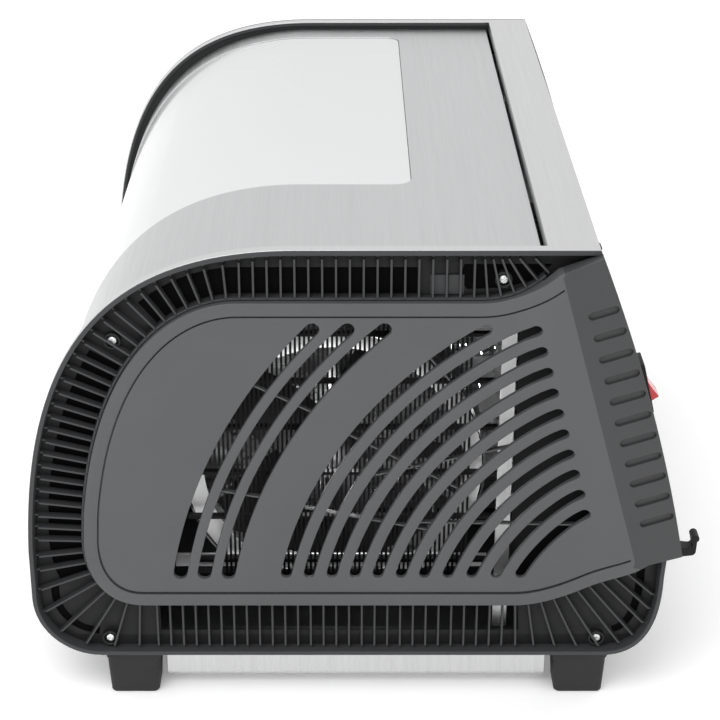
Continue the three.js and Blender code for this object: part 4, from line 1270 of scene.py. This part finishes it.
def build_board():
    low, high = span("control_board")
    face = high.y - BOARD_THICK
    board = box(Shape(), low.x, high.x, face, high.y, low.z, high.z)
    piece("control_board_look", board, "board", "control_board", bevel=0.15)
    chips = Shape()
    for x in (150, 170, 232):
        box(chips, x, x + 12, low.y, face + 0.1, 81, 89)
        for j in range(6):
            box(chips, x + 1 + 2 * j, x + 1.6 + 2 * j, face - 0.6, face + 0.1, 79.8, 90.2)
    piece("board_chips", chips, "black", [], bevel=0.15)
    lid = box(Shape(), low.x - 6, high.x + 4, -213, high.y + 2, high.z + 0.6, high.z + 1.8)
    piece("board_lid", lid, "black", [], bevel=0.3)


# ---------------------------------------------------------------- cavity and trays
def build_cavity():
    low, high = CAVITY_LOW, CAVITY_HIGH
    bend = 8
    path = [at(high.y, high.z), at(high.y, low.z + bend)]
    path += circle((high.y - bend, low.z + bend), bend, 8, 0, -math.pi / 2)[1:]
    path.append(at(low.y, low.z))
    liner = prism(Shape(), path + offset(path, SHEET, False)[::-1], low.x, high.x)
    piece("cavity_liner_look", liner, "inner", "cavity_liner", bevel=0.25)
    for side in ("left", "right"):
        node = f"rack_wall_{side}"
        piece(f"{node}_look", rack_wall(node, side == "left"), "inner", node, bevel=0.3)
    for level in range(TRAYS):
        node = f"drying_tray_{level + 1}"
        piece(f"{node}_look", wire_tray(node), "chrome", node)


def rack_wall(node, at_left):
    """A wall with rows of air holes, and a rail for each tray and for the drawer."""
    low, high = span(node)
    thick, rail = 2.1, 12.4
    wall_x = (low.x, low.x + thick) if at_left else (high.x - thick, high.x)
    rail_x = (high.x - rail, high.x) if at_left else (low.x, low.x + rail)
    levels = [FIRST_TRAY + TRAY_PITCH * level for level in range(TRAYS)]
    holes = []
    for z in levels:
        for y in (-118, -52, 14, 80):
            holes.append(oval(at(y - 19, z + 16), at(y + 19, z + 16), 9.6, 6))
    under = offset(DOOR_PATH, -DOOR_THICK - 4.3, False)
    under = [p for p in under if p.x < 108 and p.y > 119]
    outline = [at(low.y, low.z), at(high.y, low.z), at(high.y, 316)] + under
    shape = plate(Shape(), outline, holes, *wall_x, 0.3)
    for front, z in [(-156, z) for z in levels] + [(-185, DRAWER_FOOT + 2.7)]:
        box(shape, *rail_x, front, 134.5, z - 2, z)
    return shape


def wire_tray(node):
    """A frame of thick wire with two layers of thin wire over it."""
    low, high = span(node)
    x0, x1, y0, y1 = low.x + 2, high.x - 2, low.y + 2, high.y - 2
    shape = Shape()
    for z, r in ((low.z + 2, 2), (high.z - 1.5, 1.5)):
        tube(shape, [(p.x, p.y, z) for p in round_rect(x0, x1, y0, y1, 10, 5)], r, 8, True)
    shares = lambda start, end, count: [start + (end - start) * i / count for i in range(1, count)]
    for x in shares(low.x, high.x, 30):
        tube(shape, [(x, y0, low.z + 2.6), (x, y1, low.z + 2.6)], 0.9, 6)
    for y in shares(low.y, high.y, 26):
        tube(shape, [(x0, y, low.z + 4.1), (x1, y, low.z + 4.1)], 0.7, 6)
    for x in (x0, x1):
        for y in shares(low.y, high.y, 6):
            tube(shape, [(x, y, low.z + 2), (x, y, high.z - 1.5)], 1.1, 6)
    return shape


# ---------------------------------------------------------------- fan, motor and heater
def middle_of(node):
    """The middle of a node as (y, z)."""
    low, high = span(node)
    return at((low.y + high.y) / 2, (low.z + high.z) / 2)


def build_machine():
    """The fan with its shroud, motor and heater, all about one axis, and the thermostat."""
    low, high = span("fan_shroud")
    axis = middle_of("fan_shroud")
    outside = (high.y - low.y) / 2
    wall = 3.5
    piece("shroud_mouth", shroud_mouth(axis, outside, high.x), "zinc", [])
    piece("fan_shroud_look", shroud(axis, outside, wall, low.x, high.x), "chrome", "fan_shroud", smooth=50)
    piece("fan_motor_look", motor(axis, outside - wall - 1), "inner", "fan_motor", bevel=0.4)
    piece("fan_blade_look", fan_blades(axis), "black", "fan_blade", "fan", smooth=50)
    piece("heater_coil_look", heater(axis), "chrome", "heater_coil")

    low, high = span("thermostat")
    steps = [(0, 0), (5.2, 0), (6, 0.6), (6, 5), (4.6, 5.6), (4.6, 13), (4, 14), (2.5, 14)]
    profile = [(radius, low.x + x) for radius, x in steps]
    profile += [(2.5, high.x - 0.8), (1.8, high.x), (0, high.x)]
    body = lathe(Shape(), profile, *middle_of("thermostat"), 28)
    piece("thermostat_look", body, "inner", "thermostat")


def shroud(axis, outside, wall, foot, rear):
    """A ring on four posts."""
    front = 196
    profile = [(outside - wall, front + 1), (outside - wall / 2, front), (outside, front + 1)]
    profile += [(outside, rear - 1), (outside - wall / 2, rear), (outside - wall, rear - 1)]
    shape = lathe(Shape(), profile, *axis, 72)
    for angle in (45, 135, 225, 315):
        spot = on_circle(axis, outside - wall / 2, math.radians(angle))
        tube(shape, [(foot, *spot), (front + 4, *spot)], 3, 14)
    return shape


def shroud_mouth(axis, outside, rear):
    """The sloping lip that leads air into the ring."""
    slope = ((15, 5), (8, 2.4), (1, 1.6), (1, 0.4), (8, 1), (15, 3.6))
    return lathe(Shape(), [(outside - narrow, rear - back) for narrow, back in slope], *axis, 72)


def motor(axis, arm_reach):
    """A finned can with a bearing boss, held by three arms."""
    low, high = span("fan_motor")
    profile = [(0, low.x), (22, low.x), (24, low.x + 1), (28, low.x + 3)]
    for i in range(6):
        x = low.x + 6 + 6 * i
        profile += [(30, x), (30, x + 3), (28.6, x + 3.4), (28.6, x + 5.6)]
    profile += [(30, high.x - 5), (30, high.x - 1), (29, high.x)]
    profile += [(4, high.x), (4, high.x - 20), (0, high.x - 20)]
    shape = lathe(Shape(), profile, *axis, 48)
    for angle in (90, 210, 330):
        way = on_circle((0, 0), 1, math.radians(angle))
        side = at(-way.y, way.x) * 4
        a, b = axis + way * 26, axis + way * arm_reach
        prism(shape, [a + side, a - side, b - side * 0.7, b + side * 0.7], high.x - 4, high.x - 1)
    return shape


def heater(axis):
    """A coiled wire bent into a ring, on three stand-offs."""
    low, high = span("heater_coil")
    ring, coil, turns, per_turn = 74, 3.9, 64, 9
    x = high.x - 5
    points = []
    for i in range(turns * per_turn):
        spin = 2 * math.pi * i / per_turn
        spot = on_circle(axis, ring + coil * math.cos(spin), 2 * math.pi * i / (turns * per_turn))
        points.append((x + coil * math.sin(spin), *spot))
    shape = tube(Shape(), points, 0.8, 5, True)
    post = [(0, low.x), (2.4, low.x), (2.4, x - 4.4), (1.6, x - 3.8), (0, x - 3.8)]
    for angle in (30, 150, 270):
        lathe(shape, post, *on_circle(axis, ring, math.radians(angle)), 12)
    return shape


def fan_blades(axis):
    """A domed hub and five twisted blades with round tips."""
    shaft_foot = span("fan_blade")[0].x
    hub, tip, blades = 18, 92, 5
    profile = [(0, 206), (hub - 2, 206), (hub, 208), (hub, 230), (hub - 3, 233), (hub - 8, 234.4), (0, 235)]
    shape = lathe(Shape(), profile, *axis, 40)
    lathe(shape, [(0, shaft_foot), (3.2, shaft_foot), (3.2, 207), (0, 207)], *axis, 16)
    across, out = 9, 12
    faces = []
    for i in range(out - 1):
        for j in range(across - 1):
            a = i * across + j
            faces.append([a, a + 1, a + across + 1, a + across])
    for blade in range(blades):
        start = 2 * math.pi * blade / blades
        sides = []
        for skin in (0.55, -0.55):
            verts = []
            for i in range(out):
                share = i / (out - 1)
                radius = hub - 2 + (tip - hub + 2) * share
                pitch = math.radians(52 - 20 * share)
                wide = 40 + 10 * math.sin(math.pi * share)
                wide *= math.sqrt(max(0.1, 1 - max(0, share - 0.8) ** 2 * 16))
                for j in range(across):
                    chord = (j / (across - 1) - 0.5) * wide
                    camber = 3.2 * (1 - (2 * j / (across - 1) - 1) ** 2) + skin
                    x = 220 + chord * math.cos(pitch) * 0.9 + camber * math.sin(pitch)
                    turn = (chord * math.sin(pitch) - camber * math.cos(pitch)) / max(radius, 30)
                    verts.append(Vector((x, *on_circle(axis, radius, start + turn))))
            sides.append(verts)
        thicken(shape, faces, *sides)
    return shape


# ---------------------------------------------------------------- door
def build_door():
    """The door's sheet with its rolled hinge edge, and the parts that swing with it."""
    track = Track(DOOR_PATH)
    half = DOOR_HALF
    gap = 0.3
    rear_run = HINGE.x - PANE_HIGH.y - gap
    foot_run = track.where(lambda p: p.z <= PANE_LOW.z - gap)
    opening = rect_loop(PANE_LOW.x - gap, PANE_HIGH.x + gap, rear_run, foot_run, 12)
    outer = rect_loop(-half, half, 0, track.at[-1])
    shape = bent_sheet(Shape(), track, outer, [opening], 0, DOOR_THICK)
    bore, radius, top = 2.9, DOOR_HIGH.z - HINGE.y - 0.05, DOOR_HIGH.z
    roll = [(bore, -half), (radius - 0.25, -half), (radius, 0.4 - half)]
    roll += [(radius, half - 0.4), (radius - 0.25, half), (bore, half)]
    lathe(shape, roll, *HINGE, 40)
    box(shape, 0.2 - half, half - 0.2, HINGE.x - 2, HINGE.x + 6.3, top - 1.5, top - 0.02)
    piece("door_frame_look", shape, "steel", "door_frame", "door", bevel=0.5, segments=3, smooth=30)

    pane = rect_loop(PANE_LOW.x, PANE_HIGH.x, rear_run + gap, foot_run - gap, 11.7)
    shape = bent_sheet(Shape(), track, pane, [], 0.8, 3.8)
    piece("door_window_look", shape, "window", "door_window", "door", bevel=0.35, smooth=30)

    rear, foot, wide = HINGE.x - SEAL_HIGH.y, track.at[-1] - (SEAL_LOW.z - DOOR_LOW.z), 10
    outer = rect_loop(SEAL_LOW.x, SEAL_HIGH.x, rear, foot, 8)
    inner = rect_loop(SEAL_LOW.x + wide, SEAL_HIGH.x - wide, rear + wide, foot - wide, 6)
    shape = bent_sheet(Shape(), track, outer, [inner], DOOR_THICK + 0.3, DOOR_THICK + 3.5)
    piece("door_gasket_look", shape, "gasket", "door_gasket", "door", bevel=1.3, segments=3, smooth=50)

    low, high = span("door_handle")
    y, z = low.y + 2.5, (low.z + high.z) / 2
    shape = prism(Shape(), round_rect(y - 2.5, y + 2.5, z - 4.5, z + 4.5, 2.3, 6), low.x, high.x)
    reach = high.y - y
    stem = [(0, 0), (3.2, 0), (3.2, reach - 1.6), (4, reach - 0.8), (4, reach), (0, reach)]
    for x in (low.x + 12, high.x - 12):
        post = lathe(Shape(), stem, 0, 0, 28)
        shape.join(post.moved(lambda v: Vector((x + v.y, y + v.x, z + v.z))))
    piece("door_handle_look", shape, "chrome", "door_handle", "door", bevel=0.8, segments=3, smooth=50)

    low, high = span("hinge_pin_right")
    radius, edge = 2.45, 0.5
    profile = [(0, low.x), (radius - edge, low.x), (radius, low.x + edge)]
    profile += [(radius, high.x - edge), (radius - edge, high.x), (0, high.x)]
    pair("hinge_pin", lathe(Shape(), profile, *HINGE, 24), "chrome", body="door")


# ---------------------------------------------------------------- studio
def area_light(name, place, aim, size, power):
    light = bpy.data.lights.new(name, "AREA")
    light.shape = "RECTANGLE"
    light.size, light.size_y = size
    light.energy = power
    made = put(name, light, place)
    made.rotation_euler = (Vector(aim) - Vector(place)).to_track_quat("-Z", "Y").to_euler()


def build_studio():
    world = bpy.data.worlds.new("studio")
    world.use_nodes = True
    background = world.node_tree.nodes["Background"]
    background.inputs["Color"].default_value = (1, 1, 1, 1)
    background.inputs["Strength"].default_value = 1.0
    bpy.context.scene.world = world
    bpy.context.scene.view_settings.view_transform = "Standard"

    floor = bpy.data.meshes.new("floor")
    reach = 6
    corners = ((-reach, -reach, 0), (reach, -reach, 0), (reach, reach, 0), (-reach, reach, 0))
    floor.from_pydata(corners, [], [[0, 1, 2, 3]])
    glow = {"Specular_IOR_Level": 0.2, "Emission_Strength": 0.12}
    floor.materials.append(Finish("pale_floor", (0.98, 0.98, 0.98), 0.7, **glow).material)
    put("floor", floor)

    area_light("front_softbox", (0.3, -1.7, 1.6), (0, -0.05, 0.2), (1.6, 1.2), 5)
    area_light("end_softbox", (1.0, -0.35, 1.3), (0.25, 0, 0.2), (0.9, 0.7), 8)


def build_bay_lights():
    """Small lamps inside the machine ends, so that the guards behind the slots show."""
    for side in (1, -1):
        lamp = bpy.data.lights.new("bay_lamp", "POINT")
        lamp.energy = 0.8
        lamp.shadow_soft_size = 0.03
        put("bay_lamp", lamp, (side * 0.235, -0.014, 0.165))


def build_camera():
    """A long lens that looks down on the machine end, shifted a little to frame the object."""
    lens = bpy.data.cameras.new("camera")
    lens.sensor_width = 36
    lens.lens = 92.3
    lens.shift_x = 1 / 60
    lens.shift_y = -1 / 12
    camera = put("camera", lens, (COVER_FACE * MM + 1.072, -0.004, 0.775))
    looks_down = math.radians(23.7)
    camera.rotation_euler = (math.pi / 2 - looks_down, 0, math.pi / 2)
    bpy.context.scene.camera = camera


build_studio()
build_bay_lights()
build_camera()
build_ends()
build_shell()
build_base()
pair("cord_hook", cord_hook(), "black", bevel=0.6, segments=3)
build_rear()
build_front()
build_cavity()
build_machine()
build_door()
